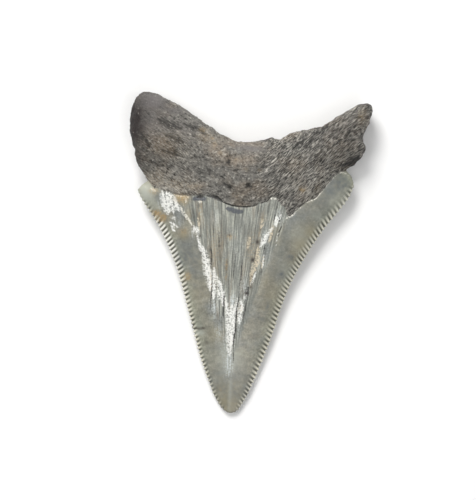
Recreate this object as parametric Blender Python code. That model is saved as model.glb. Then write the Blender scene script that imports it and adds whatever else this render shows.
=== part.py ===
"""Fossil megalodon tooth: one solid, lying on its flat labial face.

A tooth grows as one piece, so it is one object, with a thick two-lobed root and a thin
serrated crown. X runs across it, Y from the tip to the root and Z up through it. The
origin is on the resting plane, under the middle of the tooth's box.

The surface is two sheets, the display face on top and the resting face below, which
share the outline. Each is a grid: a row crosses the tooth from its left side to its
right one, and the rows follow one another from the root's notch to the tip. Tiles of
one or more grid cells cover each sheet, small ones along the serrated edges.
"""

import bmesh
import bpy
import numpy as np
from mathutils import Vector, noise

MM = 0.001


def mm(*points):
    """Points in millimetres, measured from the tip, as an array in metres."""
    return np.array(points, float) * MM


# Outline, seen from above with the tip at (0, 0).
ROOT_NOTCH = mm((-22.3, 65.9), (-17.3, 64.3), (-12.4, 62.1), (-8.6, 59.7), (-4.2, 57.3), (-0.6, 56.7),
                (2.6, 57.3), (4.9, 58.1), (6.4, 57.8), (9.4, 59.3), (13.2, 60.5), (15.4, 61.2),
                (19.2, 64.0), (22.0, 65.8), (24.4, 66.6))
LEFT_ROOT_SIDE = mm((-22.3, 65.9), (-24.0, 64.6), (-24.7, 61.8), (-24.6, 57.2), (-23.5, 53.6),
                    (-22.7, 50.8), (-21.2, 48.6), (-20.3, 47.5))
RIGHT_ROOT_SIDE = mm((24.4, 66.6), (25.4, 65.5), (25.0, 63.0), (24.1, 60.2), (24.0, 58.5),
                     (24.6, 57.0), (24.0, 55.3), (22.3, 53.6), (21.2, 52.7), (21.0, 52.2),
                     (21.9, 51.3), (22.4, 50.3))
LEFT_SHOULDER = mm((-20.3, 47.5), (-21.4, 46.6), (-22.4, 45.4))
RIGHT_SHOULDER = mm((22.4, 50.3), (22.65, 49.6), (22.7, 48.9))
LEFT_CUTTING_EDGE = mm((-22.4, 45.4), (-21.1, 43.0), (-17.7, 38.3), (-14.9, 33.2), (-12.6, 27.8),
                       (-9.7, 19.1), (-7.0, 11.0), (-4.1, 4.3))
RIGHT_CUTTING_EDGE = mm((22.7, 48.9), (21.6, 46.1), (17.3, 39.9), (14.0, 34.3), (11.0, 27.9),
                        (9.4, 23.0), (7.4, 15.4), (5.2, 8.7), (3.7, 4.5))
TIP = mm((-4.1, 4.3), (-2.9, 2.3), (-1.6, 0.7), (-0.1, 0.0), (1.4, 0.5), (2.5, 2.1), (3.7, 4.5))
LEFT_BLADE = np.vstack([LEFT_SHOULDER, LEFT_CUTTING_EDGE[1:], TIP[1:4]])
RIGHT_BLADE = np.vstack([RIGHT_ROOT_SIDE[-3:], RIGHT_CUTTING_EDGE, TIP[5:2:-1]])
ROOT_RIM = np.vstack([LEFT_ROOT_SIDE[::-1], ROOT_NOTCH[1:], RIGHT_ROOT_SIDE[1:]])

# Where the crown's enamel ends at the root, on the display face and on the resting face.
CROWN_LINE = mm((-20.3, 47.5), (-17.2, 45.8), (-12.5, 44.7), (-6.1, 44.1), (-3.0, 42.7), (-0.7, 42.3),
                (2.4, 42.9), (5.8, 45.2), (9.8, 42.8), (12.5, 44.4), (17.2, 48.6), (21.0, 52.2))
LABIAL_CROWN_LINE = mm((-20.3, 47.5), (-14.0, 46.9), (-6.5, 45.2), (0.0, 44.3), (6.5, 45.6),
                       (14.5, 48.9), (21.0, 52.2))

# The grid's middle row, along the crown line where that is level enough.
SEAM = mm((-20.3, 47.5), (-17.2, 45.9), (-12.5, 44.7), (-6.1, 44.0), (-3.0, 42.7), (-0.7, 42.3),
          (2.4, 42.6), (5.8, 43.3), (9.8, 42.8), (13.0, 44.4), (17.5, 47.4), (22.4, 50.3))

# Two creases run down the display face, with the worn, fibrous field between them.
LEFT_CREASE = mm((-15.2, 46.0), (-14.3, 43.3), (-10.0, 38.6), (-7.9, 32.5), (-5.2, 23.2), (-1.7, 12.9),
                 (-0.6, 9.0))
RIGHT_CREASE = mm((11.6, 46.0), (10.4, 42.8), (7.3, 35.6), (4.8, 28.1), (2.4, 19.9), (0.4, 12.7),
                  (-0.4, 9.0))
NARROWEST_FLANK = 0.2
CREASE_SOFTNESS = 0.035
FIELD_LEVEL = 0.97
FIELD_DOME = 0.2
DOME_HALF_WIDTH = 12 * MM
FURROW_DEPTH = 0.2 * MM
FURROWS_ACROSS = 2.5
FURROW_LENGTH = 14 * MM

# Heights, each against the distance from the tip.
EDGE_HEIGHT = mm((0, 1.0), (15, 1.7), (30, 2.6), (45, 3.5), (66, 3.8))
CREASE_RISE = mm((0, 0.15), (2, 0.7), (5, 1.35), (9, 1.95), (15, 2.6), (25, 3.4), (36, 4.2), (47, 4.7))
LABIAL_DROP = mm((0, 0.35), (5, 1.2), (12, 1.75), (20, 2.2), (30, 2.75), (40, 3.2), (47, 3.2))

ROOT_RIM_HEIGHT = 5.4 * MM
RIM_RUN = 7.0 * MM
LEFT_LOBE_RISE = 5.8 * MM
RIGHT_LOBE_RISE = 4.6 * MM
LOBE_REACH = 12 * MM
LOBE_TAPER = 0.3
LOBE_TAPER_START = 54 * MM
LOBE_TAPER_RUN = 12 * MM
BULGE_RISE = 3.0 * MM
BULGE_CENTRE = (-1.0 * MM, 50.5 * MM)
BULGE_SPREAD = (12.0 * MM, 6.0 * MM)
ROOT_ROUNDING = 5.2 * MM
LABIAL_ROUNDING = 3.2 * MM
LABIAL_MARGIN = 0.4 * MM
LABIAL_HOLLOW = 0.6 * MM
LABIAL_HOLLOW_CENTRE = (0.0, 52.0 * MM)
LABIAL_HOLLOW_SPREAD = (9.0 * MM, 9.0 * MM)
LABIAL_GROOVE_DEPTH = 0.4 * MM
LABIAL_GROOVE_SPREAD = 1.0 * MM
CROWN_STEP = 0.35 * MM
STEP_RUN = 0.8 * MM
GUM_GROOVE_DEPTHS = (0.1 * MM, 0.5 * MM)
GUM_GROOVE_SPREAD = 0.6 * MM
ROOT_FACE_RUNS = (5.5 * MM, 10.0 * MM)

# Serrations: each is a peak and a notch on the outline, and a flute on both faces.
SERRATIONS = 56
SERRATION_DEPTH = 0.34 * MM
FLUTE_SHARE = 0.6
SERRATION_WEAR = np.array([(0.0, 0.5), (0.08, 0.75), (0.2, 1.0), (0.7, 1.0), (0.9, 0.75), (0.97, 0.3), (1.0, 0.0)])
BLADE_BAND = 2.2 * MM
BAND_STEPS = np.array((0.0, 0.14, 0.36, 0.66, 1.0))
WIDEST_BAND = 0.3

# Root surface: lumps, ridges along the lobes, pits and the long hollow of the left lobe.
LUMP_HEIGHT = 0.5 * MM
LUMP_SIZE = 4.5 * MM
RIDGE_HEIGHT = 0.5 * MM
RIDGE_LENGTH = 9.0 * MM
RIDGE_WIDTH = 2.4 * MM
LOBE_SLOPES = (-0.6, 0.75)
PITS = mm((-3.1, 46.9, 0.8), (0.6, 47.6, 0.7), (-3.1, 53.4, 0.7), (4.6, 57.4, 0.8), (14.0, 53.5, 0.6))
PIT_DEPTH = 0.5 * MM
HOLLOW = mm((-17.5, 61.6), (-7.5, 55.6))
HOLLOW_SPREAD = 1.3 * MM
HOLLOW_DEPTH = 0.6 * MM
CHIP = (-9.3 * MM, 17.4 * MM)
CHIP_SPREAD = (1.1 * MM, 1.1 * MM)
CHIP_DEPTH = 0.4 * MM

# Grid: rows down the tooth and columns between the two blade bands.
ROOT_ROWS = 24
ROOT_ROW_CROWDING = 0.45
SHOULDER_ROWS = 4
TURNING_ROWS = 24
TIP_ROWS = 12
MIDDLE_COLUMNS = 32
SEAM_ROW = ROOT_ROWS
BLADE_ROW = SEAM_ROW + SHOULDER_ROWS
LAST_ROW = BLADE_ROW + 2 * SERRATIONS
BAND_COLUMNS = len(BAND_STEPS) - 1
LAST_COLUMN = MIDDLE_COLUMNS + 2 * BAND_COLUMNS
CROWN_TILE_ROWS = 4
DISPLAY_TILE_WIDTHS = (1, 1, 1)
RESTING_TILE_WIDTHS = (2, 2, 4)

FOSSIL_GREY = (0.17, 0.16, 0.145, 1.0)


def smooth_curve(points, per_span=16):
    """A Catmull-Rom curve through the points."""
    first = 2 * points[0] - points[1]
    last = 2 * points[-1] - points[-2]
    guides = np.vstack([first, points, last])
    t = np.linspace(0, 1, per_span, endpoint=False)[:, None]
    spans = [
        0.5 * (2 * b + (c - a) * t + (2 * a - 5 * b + 4 * c - d) * t**2 + (3 * b - a - 3 * c + d) * t**3)
        for a, b, c, d in zip(guides, guides[1:], guides[2:], guides[3:])
    ]
    return np.vstack([*spans, points[-1:]])


def along(points, shares):
    """Where the curve through the points is, at each share of its length."""
    curve = smooth_curve(points)
    run = np.append(0, np.cumsum(np.linalg.norm(np.diff(curve, axis=0), axis=1)))
    at = np.asarray(shares) * run[-1]
    return np.stack([np.interp(at, run, curve[:, 0]), np.interp(at, run, curve[:, 1])], axis=-1)


def smooth_step(t):
    t = np.clip(t, 0, 1)
    return t * t * (3 - 2 * t)


def soft_min(*values):
    """The least of the values, rounded off where two of them cross."""
    return -CREASE_SOFTNESS * np.log(sum(np.exp(-value / CREASE_SOFTNESS) for value in values))


def x_on(curve, y):
    """The curve's x at each y, on a curve that runs down the tooth."""
    upward = smooth_curve(curve)[::-1]
    return np.interp(y, upward[:, 1], upward[:, 0])


def y_on(curve, x):
    """The curve's y at each x, on a curve that crosses the tooth."""
    rightward = smooth_curve(curve)
    return np.interp(x, rightward[:, 0], rightward[:, 1])


def gap_to(curve, x, y):
    """How far each point is from the curve."""
    points = smooth_curve(curve, per_span=40)
    away = np.stack([x, y], axis=-1)[..., None, :] - points
    return np.linalg.norm(away, axis=-1).min(axis=-1)


def mound(x, y, centre, spread):
    """A rounded mound of height 1 over its centre."""
    return np.exp(-((x - centre[0]) / spread[0]) ** 2 - ((y - centre[1]) / spread[1]) ** 2)


def rounded(gap, radius):
    """Height share of a rounded edge: 0 at the edge and 1 from the radius inward."""
    return np.sqrt(1 - (1 - np.clip(gap / radius, 0, 1)) ** 2)


def grain(x, y):
    """Perlin noise at each point."""
    values = [noise.noise(Vector((a, b, 0.5))) for a, b in zip(x.flat, y.flat)]
    return np.reshape(values, x.shape)


def rim_height(x, y):
    """Height of the outline: low along the cutting edges, higher round the root."""
    edge = np.interp(y, *EDGE_HEIGHT.T)
    corners = CROWN_LINE[[0, -1]]
    above_corners = y - np.interp(x, *corners.T)
    return edge + (ROOT_RIM_HEIGHT - edge) * smooth_step(above_corners / RIM_RUN)


def flank_rise(share):
    """Rise of a flank, as a share of its crease's, from the cutting edge inward."""
    share = np.clip(share, 0, 1.6)
    return share * (1.3 - 0.3 * share)


def crown_rise(x, y):
    """Display face of the crown: two flanks up to the creases and a low dome between them."""
    left = x_on(LEFT_BLADE, y)
    right = x_on(RIGHT_BLADE, y)
    least = NARROWEST_FLANK * (right - left) + MM / 10
    crease_left = np.maximum(x_on(LEFT_CREASE, y), left + least)
    crease_right = np.minimum(x_on(RIGHT_CREASE, y), right - least)
    half = np.maximum(crease_right - crease_left, MM) / 2
    across = (x - (crease_left + crease_right) / 2) / half
    dome = FIELD_LEVEL + FIELD_DOME * (1 - across**2) * half / DOME_HALF_WIDTH
    up_left = flank_rise((x - left) / (crease_left - left))
    up_right = flank_rise((right - x) / (right - crease_right))
    share = soft_min(up_left, up_right, np.maximum(dome, 0.9))
    furrows = FURROW_DEPTH * grain(FURROWS_ACROSS * across, y / FURROW_LENGTH)
    in_field = smooth_step(2 - 2 * np.abs(across)) * half / DOME_HALF_WIDTH
    return np.interp(y, *CREASE_RISE.T) * np.maximum(share, 0) + furrows * in_field


def root_relief(x, y):
    """Lumps, ridges and pits of the root, and the hollow along its left lobe."""
    slope = np.interp(x, (-LOBE_REACH, LOBE_REACH), LOBE_SLOPES)
    length = np.sqrt(1 + slope**2)
    forward = (x + slope * y) / length
    sideways = (y - slope * x) / length
    relief = LUMP_HEIGHT * grain(x / LUMP_SIZE, y / LUMP_SIZE)
    relief += RIDGE_HEIGHT * grain(forward / RIDGE_LENGTH, sideways / RIDGE_WIDTH)
    for pit_x, pit_y, spread in PITS:
        relief -= PIT_DEPTH * mound(x, y, (pit_x, pit_y), (spread, spread))
    return relief - HOLLOW_DEPTH * np.exp(-((gap_to(HOLLOW, x, y) / HOLLOW_SPREAD) ** 2))


def root_rise(x, y):
    """Display face of the root: two lobes with a bulge between them, rounded off at the rim."""
    lobes = np.interp(x, (-LOBE_REACH, LOBE_REACH), (LEFT_LOBE_RISE, RIGHT_LOBE_RISE))
    lobes = lobes * (1 - LOBE_TAPER * smooth_step((y - LOBE_TAPER_START) / LOBE_TAPER_RUN))
    bulge = BULGE_RISE * mound(x, y, BULGE_CENTRE, BULGE_SPREAD)
    return rounded(gap_to(ROOT_RIM, x, y), ROOT_ROUNDING) * (lobes + bulge + root_relief(x, y))


def root_share(x, above_line):
    """How far the surface has turned from crown to root. It turns slower on the lobes."""
    run = np.interp(np.abs(x), (0, LOBE_REACH), ROOT_FACE_RUNS)
    return smooth_step(above_line / run)


def display_rise(x, y):
    """How far the display face stands above the outline's height."""
    above_line = y - y_on(CROWN_LINE, x)
    groove_depth = np.interp(x, (-LOBE_REACH, LOBE_REACH), GUM_GROOVE_DEPTHS)
    groove = groove_depth * np.exp(-((above_line / GUM_GROOVE_SPREAD - 1) ** 2))
    crown = crown_rise(x, y) + CROWN_STEP * smooth_step(above_line / STEP_RUN)
    rise = crown + (root_rise(x, y) - crown) * root_share(x, above_line) - groove
    return np.maximum(rise - CHIP_DEPTH * mound(x, y, CHIP, CHIP_SPREAD), 0.1 * MM)


def resting_drop(x, y):
    """How far the resting face lies below the outline's height. It is cut off flat at the plane."""
    left = x_on(LEFT_BLADE, y)
    right = x_on(RIGHT_BLADE, y)
    across = np.clip((2 * x - left - right) / (right - left + MM / 10), -1, 1)
    crown = np.interp(y, *LABIAL_DROP.T) * (1 - across**2) ** 0.8
    hollow = LABIAL_HOLLOW * mound(x, y, LABIAL_HOLLOW_CENTRE, LABIAL_HOLLOW_SPREAD)
    full = ROOT_RIM_HEIGHT + LABIAL_MARGIN
    root = full * rounded(gap_to(ROOT_RIM, x, y), LABIAL_ROUNDING) - hollow
    above_line = y - y_on(LABIAL_CROWN_LINE, x)
    groove = LABIAL_GROOVE_DEPTH * np.exp(-((above_line / LABIAL_GROOVE_SPREAD) ** 2))
    drop = crown + (root - crown) * root_share(x, above_line) - groove
    return np.clip(drop, 0, rim_height(x, y))


def root_row_shares():
    """Where the root's rows start on its sides. They crowd towards the rim and the crown."""
    t = np.linspace(0, 1, ROOT_ROWS + 1)
    return t - ROOT_ROW_CROWDING * np.sin(2 * np.pi * t) / (2 * np.pi)


def outline_side(root_side, shoulder, cutting_edge):
    """One side of the outline, a point for each row."""
    shoulder_shares = np.linspace(0, 1, SHOULDER_ROWS + 1)[1:]
    edge_shares = np.linspace(0, 1, 2 * SERRATIONS + 1)[1:]
    return np.vstack([along(root_side, root_row_shares()), along(shoulder, shoulder_shares),
                      along(cutting_edge, edge_shares)])


def inward(points, sign):
    """Unit directions into the tooth, square to one side of its outline."""
    run = np.gradient(points, axis=0)
    square = np.column_stack([-run[:, 1], run[:, 0]]) * sign
    return square / np.linalg.norm(square, axis=1)[:, None]


def notches():
    """How deep each row's serration notch is: 0 on peaks and off the blade, 1 where fresh."""
    on_blade = np.arange(LAST_ROW + 1) - BLADE_ROW
    wear = np.interp(on_blade / (LAST_ROW - BLADE_ROW), *SERRATION_WEAR.T)
    return np.where((on_blade > 0) & (on_blade % 2 == 1), wear, 0)


def blade_weights():
    """How far each row's bands are square to the outline: fully on the blade, not on the root or tip."""
    rows = np.arange(LAST_ROW + 1)
    return smooth_step((rows - BLADE_ROW) / TURNING_ROWS) * smooth_step((LAST_ROW - rows) / TIP_ROWS)


def grid_points():
    """Where the rows and columns cross, from above: a Coons patch of the root, then one of the crown."""
    left = outline_side(LEFT_ROOT_SIDE, LEFT_SHOULDER, LEFT_CUTTING_EDGE)
    right = outline_side(RIGHT_ROOT_SIDE, RIGHT_SHOULDER, RIGHT_CUTTING_EDGE)
    from_left = inward(left, 1)
    from_right = inward(right, -1)
    weights = blade_weights()
    notch_depths = SERRATION_DEPTH * notches()
    heights = (left[:, 1] + right[:, 1]) / 2
    to_tip = (heights[SEAM_ROW] - heights) / (heights[SEAM_ROW] - heights[-1])
    t = np.linspace(0, 1, MIDDLE_COLUMNS + 1)[1:-1, None]
    rows = []
    for row in range(LAST_ROW + 1):
        width = np.linalg.norm(right[row] - left[row])
        band = min(BLADE_BAND, WIDEST_BAND * width) * BAND_STEPS
        middle = np.linspace(band[-1], width - band[-1], MIDDLE_COLUMNS + 1)[1:-1]
        u = np.concatenate([band, middle, width - band[::-1]]) / width
        if row <= SEAM_ROW:
            down = root_row_shares()[row]
            points = (1 - down) * along(ROOT_NOTCH, u) + down * along(SEAM, u)
        else:
            down = to_tip[row]
            points = (1 - down) * along(SEAM, u) + down * along(TIP, u)
        ends = np.outer(1 - u, left[row] - points[0]) + np.outer(u, right[row] - points[-1])
        points = points + ends
        square_left = left[row] + np.outer(band, from_left[row])
        square_right = right[row] + np.outer(band[::-1], from_right[row])
        shift_left = weights[row] * (square_left - points[:BAND_COLUMNS + 1])
        shift_right = weights[row] * (square_right - points[-BAND_COLUMNS - 1:])
        between = (1 - t) * shift_left[-1] + t * shift_right[0]
        points = points + np.vstack([shift_left, between, shift_right])
        cut = notch_depths[row] * (1 - BAND_STEPS) ** 2
        points[:BAND_COLUMNS + 1] += np.outer(cut, from_left[row])
        points[-BAND_COLUMNS - 1:] += np.outer(cut[::-1], from_right[row])
        rows.append(points)
    return np.array(rows)


def flutes():
    """Share of a face's own height that is left at each row and column of the grid."""
    fade = np.zeros(LAST_COLUMN + 1)
    fade[:BAND_COLUMNS + 1] = 1 - BAND_STEPS
    fade[-BAND_COLUMNS - 1:] = (1 - BAND_STEPS)[::-1]
    return 1 - FLUTE_SHARE * np.outer(notches(), fade)


def sheets():
    """Points of the display face and of the resting face, by row and column."""
    grid = grid_points()
    x = grid[..., 0]
    y = grid[..., 1]
    rim = rim_height(x, y)
    inside = np.zeros(x.shape)
    inside[1:-1, 1:-1] = 1
    display = rim + inside * flutes() * display_rise(x, y)
    resting = rim - inside * flutes() * resting_drop(x, y)
    return np.stack([x, y, display], axis=-1), np.stack([x, y, resting], axis=-1)


def tiles(band_width, root_width, crown_width):
    """The tiles of one face, each as its first and last row and its first and last column."""
    for row in range(LAST_ROW):
        for column in range(0, BAND_COLUMNS, band_width):
            yield row, row + 1, column, column + band_width
            yield row, row + 1, LAST_COLUMN - column - band_width, LAST_COLUMN - column
    last_tall_row = LAST_ROW - TIP_ROWS
    zones = ((0, SEAM_ROW, 1, root_width), (SEAM_ROW, last_tall_row, CROWN_TILE_ROWS, crown_width),
             (last_tall_row, LAST_ROW, 1, crown_width))
    for first, last, height, width in zones:
        for row in range(first, last, height):
            for column in range(BAND_COLUMNS, LAST_COLUMN - BAND_COLUMNS, width):
                yield row, row + height, column, column + width


def corners(tile):
    top, bottom, left, right = tile
    return {(top, left), (top, right), (bottom, left), (bottom, right)}


def border(tile):
    """Grid points round a tile, anticlockwise from above."""
    top, bottom, left, right = tile
    down = [(row, left) for row in range(top, bottom)]
    rightward = [(bottom, column) for column in range(left, right)]
    up = [(row, right) for row in range(bottom, top, -1)]
    leftward = [(top, column) for column in range(right, left, -1)]
    return down + rightward + up + leftward


def on_outline(point):
    return point[0] in (0, LAST_ROW) or point[1] in (0, LAST_COLUMN)


def build_tooth():
    """The tooth as one closed mesh."""
    display_tiles = list(tiles(*DISPLAY_TILE_WIDTHS))
    resting_tiles = list(tiles(*RESTING_TILE_WIDTHS))
    display_corners = set().union(*map(corners, display_tiles))
    resting_corners = set().union(*map(corners, resting_tiles))
    outline = set(filter(on_outline, display_corners | resting_corners))
    display, resting = sheets()
    shape = bmesh.new()
    shared = {point: shape.verts.new(display[point]) for point in sorted(outline)}
    for points, kept, face_tiles, turn in ((display, display_corners, display_tiles, 1),
                                           (resting, resting_corners, resting_tiles, -1)):
        own = {point: shape.verts.new(points[point]) for point in sorted(kept - outline)}
        vertices = shared | own
        for tile in face_tiles:
            loop = [vertices[point] for point in border(tile) if point in vertices]
            shape.faces.new(loop[::turn])
    bmesh.ops.triangulate(shape, faces=shape.faces[:])
    return shape


def centre_on_plane(shape):
    """Moves the mesh so that the origin is under the middle of its box, on the resting plane."""
    points = np.array([vertex.co for vertex in shape.verts])
    low = points.min(axis=0)
    high = points.max(axis=0)
    shift = (-(low[0] + high[0]) / 2, -(low[1] + high[1]) / 2, -low[2])
    bmesh.ops.translate(shape, vec=shift, verts=shape.verts[:])


def main():
    for existing in list(bpy.data.objects):
        bpy.data.objects.remove(existing, do_unlink=True)
    shape = build_tooth()
    centre_on_plane(shape)
    mesh = bpy.data.meshes.new("tooth")
    shape.to_mesh(mesh)
    shape.free()
    material = bpy.data.materials.new("tooth")
    material.use_nodes = True
    surface = material.node_tree.nodes["Principled BSDF"]
    surface.inputs["Base Color"].default_value = FOSSIL_GREY
    surface.inputs["Roughness"].default_value = 0.6
    mesh.materials.append(material)
    tooth = bpy.data.objects.new("tooth", mesh)
    bpy.context.scene.collection.objects.link(tooth)


main()
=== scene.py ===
"""Fossil megalodon tooth, lying on its flat labial face on a plain pale floor.

One piece is made here. A fine blank of the tooth is a grid worked out from its outline and
heights. Geometry Nodes then cut the serrations into its edges and raise the fibres, grains and
lumps of the root, the streaks of the worn field and the cracks. One material gives it three
finishes: phosphatised dentine on the root, enameloid on the crown, and worn osteodentine
between them.
"""

import math

import bpy
import numpy as np
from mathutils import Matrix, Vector, noise


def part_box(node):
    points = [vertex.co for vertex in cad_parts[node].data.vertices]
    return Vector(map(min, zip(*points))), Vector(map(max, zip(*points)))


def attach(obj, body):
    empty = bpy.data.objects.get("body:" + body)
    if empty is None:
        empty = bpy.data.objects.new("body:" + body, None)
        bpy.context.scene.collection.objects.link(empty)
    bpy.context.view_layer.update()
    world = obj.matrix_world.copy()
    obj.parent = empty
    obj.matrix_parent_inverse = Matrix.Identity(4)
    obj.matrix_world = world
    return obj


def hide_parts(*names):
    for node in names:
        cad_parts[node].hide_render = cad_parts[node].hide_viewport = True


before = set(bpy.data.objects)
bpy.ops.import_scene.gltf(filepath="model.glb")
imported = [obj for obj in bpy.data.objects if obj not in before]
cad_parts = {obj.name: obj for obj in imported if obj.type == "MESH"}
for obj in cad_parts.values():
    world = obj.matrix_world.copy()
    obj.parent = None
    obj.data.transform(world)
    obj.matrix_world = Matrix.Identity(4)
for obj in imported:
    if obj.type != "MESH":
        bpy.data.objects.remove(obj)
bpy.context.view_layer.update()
LOW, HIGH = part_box("tooth")

# Millimetres of the drawing, from the tip, to metres of the frame.
DRAWN_LENGTH = 66.6
MM = (HIGH.y - LOW.y) / DRAWN_LENGTH


def mm(*points):
    """Points in millimetres, measured from the tip, as an array in metres."""
    return np.array(points, float) * MM


# ------------------------ outline

ROOT_NOTCH = mm(
    (-22.3, 65.7), (-20.9, 65.85), (-19.3, 65.5), (-17.2, 64.6), (-14.9, 63.5), (-12.4, 62.2), (-8.6, 59.7),
    (-4.2, 57.3), (-0.6, 56.7), (2.6, 57.3), (4.9, 58.1), (6.4, 57.8), (9.4, 59.3), (13.2, 60.5),
    (15.4, 61.2), (19.2, 64.0), (22.0, 65.8), (24.4, 66.6)
)
LEFT_ROOT_SIDE = mm(
    (-22.3, 65.7), (-23.3, 65.1), (-24.0, 63.9), (-24.7, 61.6), (-24.6, 57.2), (-23.5, 53.6), (-22.7, 50.8),
    (-21.2, 48.6), (-20.3, 47.5)
)
RIGHT_ROOT_SIDE = mm(
    (24.4, 66.6), (25.4, 65.5), (25.0, 63.0), (24.1, 60.2), (24.0, 58.5), (24.6, 57.0), (24.0, 55.3),
    (22.3, 53.6), (21.2, 52.7), (21.0, 52.2), (21.9, 51.3), (22.4, 50.3)
)
LEFT_SHOULDER = mm((-20.3, 47.5), (-21.4, 46.6), (-22.4, 45.4))
RIGHT_SHOULDER = mm((22.4, 50.3), (22.65, 49.6), (22.7, 48.9))
LEFT_CUTTING_EDGE = mm(
    (-22.4, 45.4), (-21.1, 43.0), (-17.7, 38.3), (-14.9, 33.2), (-12.6, 27.8), (-9.7, 19.1), (-7.0, 11.0),
    (-4.1, 4.3)
)
RIGHT_CUTTING_EDGE = mm(
    (22.7, 48.9), (21.6, 46.1), (17.3, 39.9), (14.0, 34.3), (11.0, 27.9), (9.4, 23.0), (7.4, 15.4),
    (5.2, 8.7), (3.7, 4.5)
)
TIP = mm((-4.1, 4.3), (-2.9, 2.3), (-1.6, 0.7), (-0.1, 0.0), (1.4, 0.5), (2.5, 2.1), (3.7, 4.5))
LEFT_BLADE = np.vstack([LEFT_SHOULDER, LEFT_CUTTING_EDGE[1:], TIP[1:4]])
RIGHT_BLADE = np.vstack([RIGHT_ROOT_SIDE[-3:], RIGHT_CUTTING_EDGE, TIP[5:2:-1]])
ROOT_RIM = np.vstack([LEFT_ROOT_SIDE[::-1], ROOT_NOTCH[1:], RIGHT_ROOT_SIDE[1:]])
# The whole serrated edge, from the left shoulder round the tip to the right one.
BLADE_EDGE = np.vstack([LEFT_SHOULDER, LEFT_CUTTING_EDGE[1:], TIP[1:], RIGHT_CUTTING_EDGE[-2::-1],
                        RIGHT_SHOULDER[-2::-1], RIGHT_ROOT_SIDE[-2:-4:-1]])

# Where the crown ends at the root, on the display face and on the resting face.
CROWN_LINE = mm(
    (-20.3, 47.5), (-17.2, 45.8), (-12.5, 44.7), (-6.1, 44.1), (-3.0, 42.7), (-0.7, 42.3), (2.4, 42.9),
    (5.8, 45.2), (9.8, 42.8), (12.5, 44.4), (17.2, 48.6), (21.0, 52.2)
)
LABIAL_CROWN_LINE = mm(
    (-20.3, 47.5), (-14.0, 46.9), (-6.5, 45.2), (0.0, 44.3), (6.5, 45.6), (14.5, 48.9), (21.0, 52.2)
)
# The grid's middle row, along the crown line where that is level enough.
SEAM = mm(
    (-20.3, 47.5), (-17.2, 45.9), (-12.5, 44.7), (-6.1, 44.0), (-3.0, 42.7), (-0.7, 42.3), (2.4, 42.6),
    (5.8, 43.3), (9.8, 42.8), (13.0, 44.4), (17.5, 47.4), (22.4, 50.3)
)
# Two creases run down the display face, with the worn field between them.
LEFT_CREASE = mm(
    (-15.2, 46.0), (-14.3, 43.3), (-10.0, 38.6), (-7.9, 32.5), (-5.2, 23.2), (-1.7, 12.9), (-0.6, 9.0)
)
RIGHT_CREASE = mm(
    (11.6, 46.0), (10.4, 42.8), (7.3, 35.6), (4.8, 28.1), (2.4, 19.9), (0.4, 12.7), (-0.4, 9.0)
)

# ------------------------ drawn marks

# Where the enameloid really ends, raggedly, along the crown line of the display face.
GUM_LINE = mm(
    (-20.3, 47.5), (-19.6, 46.7), (-19.0, 46.0), (-17.4, 45.7), (-16.3, 45.3), (-15.0, 45.0), (-13.8, 44.7),
    (-12.5, 44.9), (-11.4, 44.7), (-10.2, 44.9), (-8.6, 45.0), (-7.6, 45.1), (-6.5, 45.1), (-5.7, 44.6),
    (-4.6, 44.1), (-3.5, 43.6), (-2.0, 43.3), (-0.5, 43.2), (1.4, 43.4), (2.5, 43.8), (3.9, 44.2),
    (4.9, 44.6), (5.4, 45.3), (6.5, 45.5), (7.0, 44.8), (7.8, 44.3), (8.6, 43.5), (9.0, 42.7), (9.2, 41.9),
    (9.7, 41.9), (10.4, 42.5), (11.1, 43.5), (12.0, 44.2), (12.7, 44.9), (14.0, 45.6), (15.0, 46.2),
    (15.8, 47.3), (17.0, 48.9), (17.7, 49.9), (18.6, 50.9), (19.4, 51.6), (21.0, 52.2)
)

# Lines, in millimetres: each has its half width at its middle, and then its points.
CRACKS = (
    (0.33, (-7.7, 44.95), (-6.9, 44.95), (-6.0, 44.75), (-5.2, 44.4), (-4.4, 44.0)),
    (0.13, (-5.0, 44.2), (-3.5, 43.6), (-2.0, 43.3), (-0.5, 43.2), (1.4, 43.4), (2.9, 43.8)),
    (0.34, (-9.8, 44.5), (-9.1, 44.7), (-8.3, 44.7)),
    (0.14, (9.3, 42.7), (9.9, 43.3), (10.6, 43.8)),
    (0.13, (-2.75, 25.6), (-2.85, 23.8), (-2.75, 22.4), (-2.8, 21.0), (-2.6, 19.6)),
    (0.13, (0.4, 26.4), (0.3, 24.8), (0.1, 22.9), (-0.1, 21.7), (0.0, 20.6), (-0.05, 19.0), (0.0, 17.7),
     (-0.2, 16.1), (-0.25, 14.6), (-0.15, 13.2)),
    (0.1, (-5.7, 30.1), (-5.55, 27.6), (-5.5, 25.6), (-5.55, 23.4), (-5.4, 20.8)),
    (0.07, (-0.1, 13.4), (-0.05, 11.8), (0.0, 10.4)),
    (0.12, (-6.4, 34.8), (-6.0, 33.2), (-6.0, 31.2), (-6.1, 29.6)),
    (0.12, (-4.8, 38.0), (-4.7, 36.6), (-4.5, 34.6)),
    (0.11, (-0.7, 34.8), (-1.0, 33.0), (-1.1, 31.0), (-1.2, 29.0), (-1.3, 27.6)),
    (0.12, (0.4, 34.0), (0.4, 31.0), (0.45, 29.0), (0.3, 27.5), (0.2, 26.0)),
    (0.2, (2.0, 26.8), (2.0, 25.6), (2.2, 24.8)),
    (0.08, (2.1, 24.6), (1.8, 23.2), (1.7, 21.6), (1.3, 19.8)),
    (0.13, (4.95, 35.8), (4.8, 34.4), (4.7, 33.4)),
    (0.1, (4.6, 30.8), (4.5, 30.0), (4.4, 29.2)),
    (0.11, (6.95, 44.6), (6.9, 43.0), (6.6, 42.0), (6.4, 40.6), (5.9, 39.0)),
    (0.13, (7.75, 42.0), (7.6, 41.0), (7.2, 40.2)),
    (0.12, (8.6, 40.4), (7.8, 39.0), (7.4, 37.2)),
)
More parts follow.
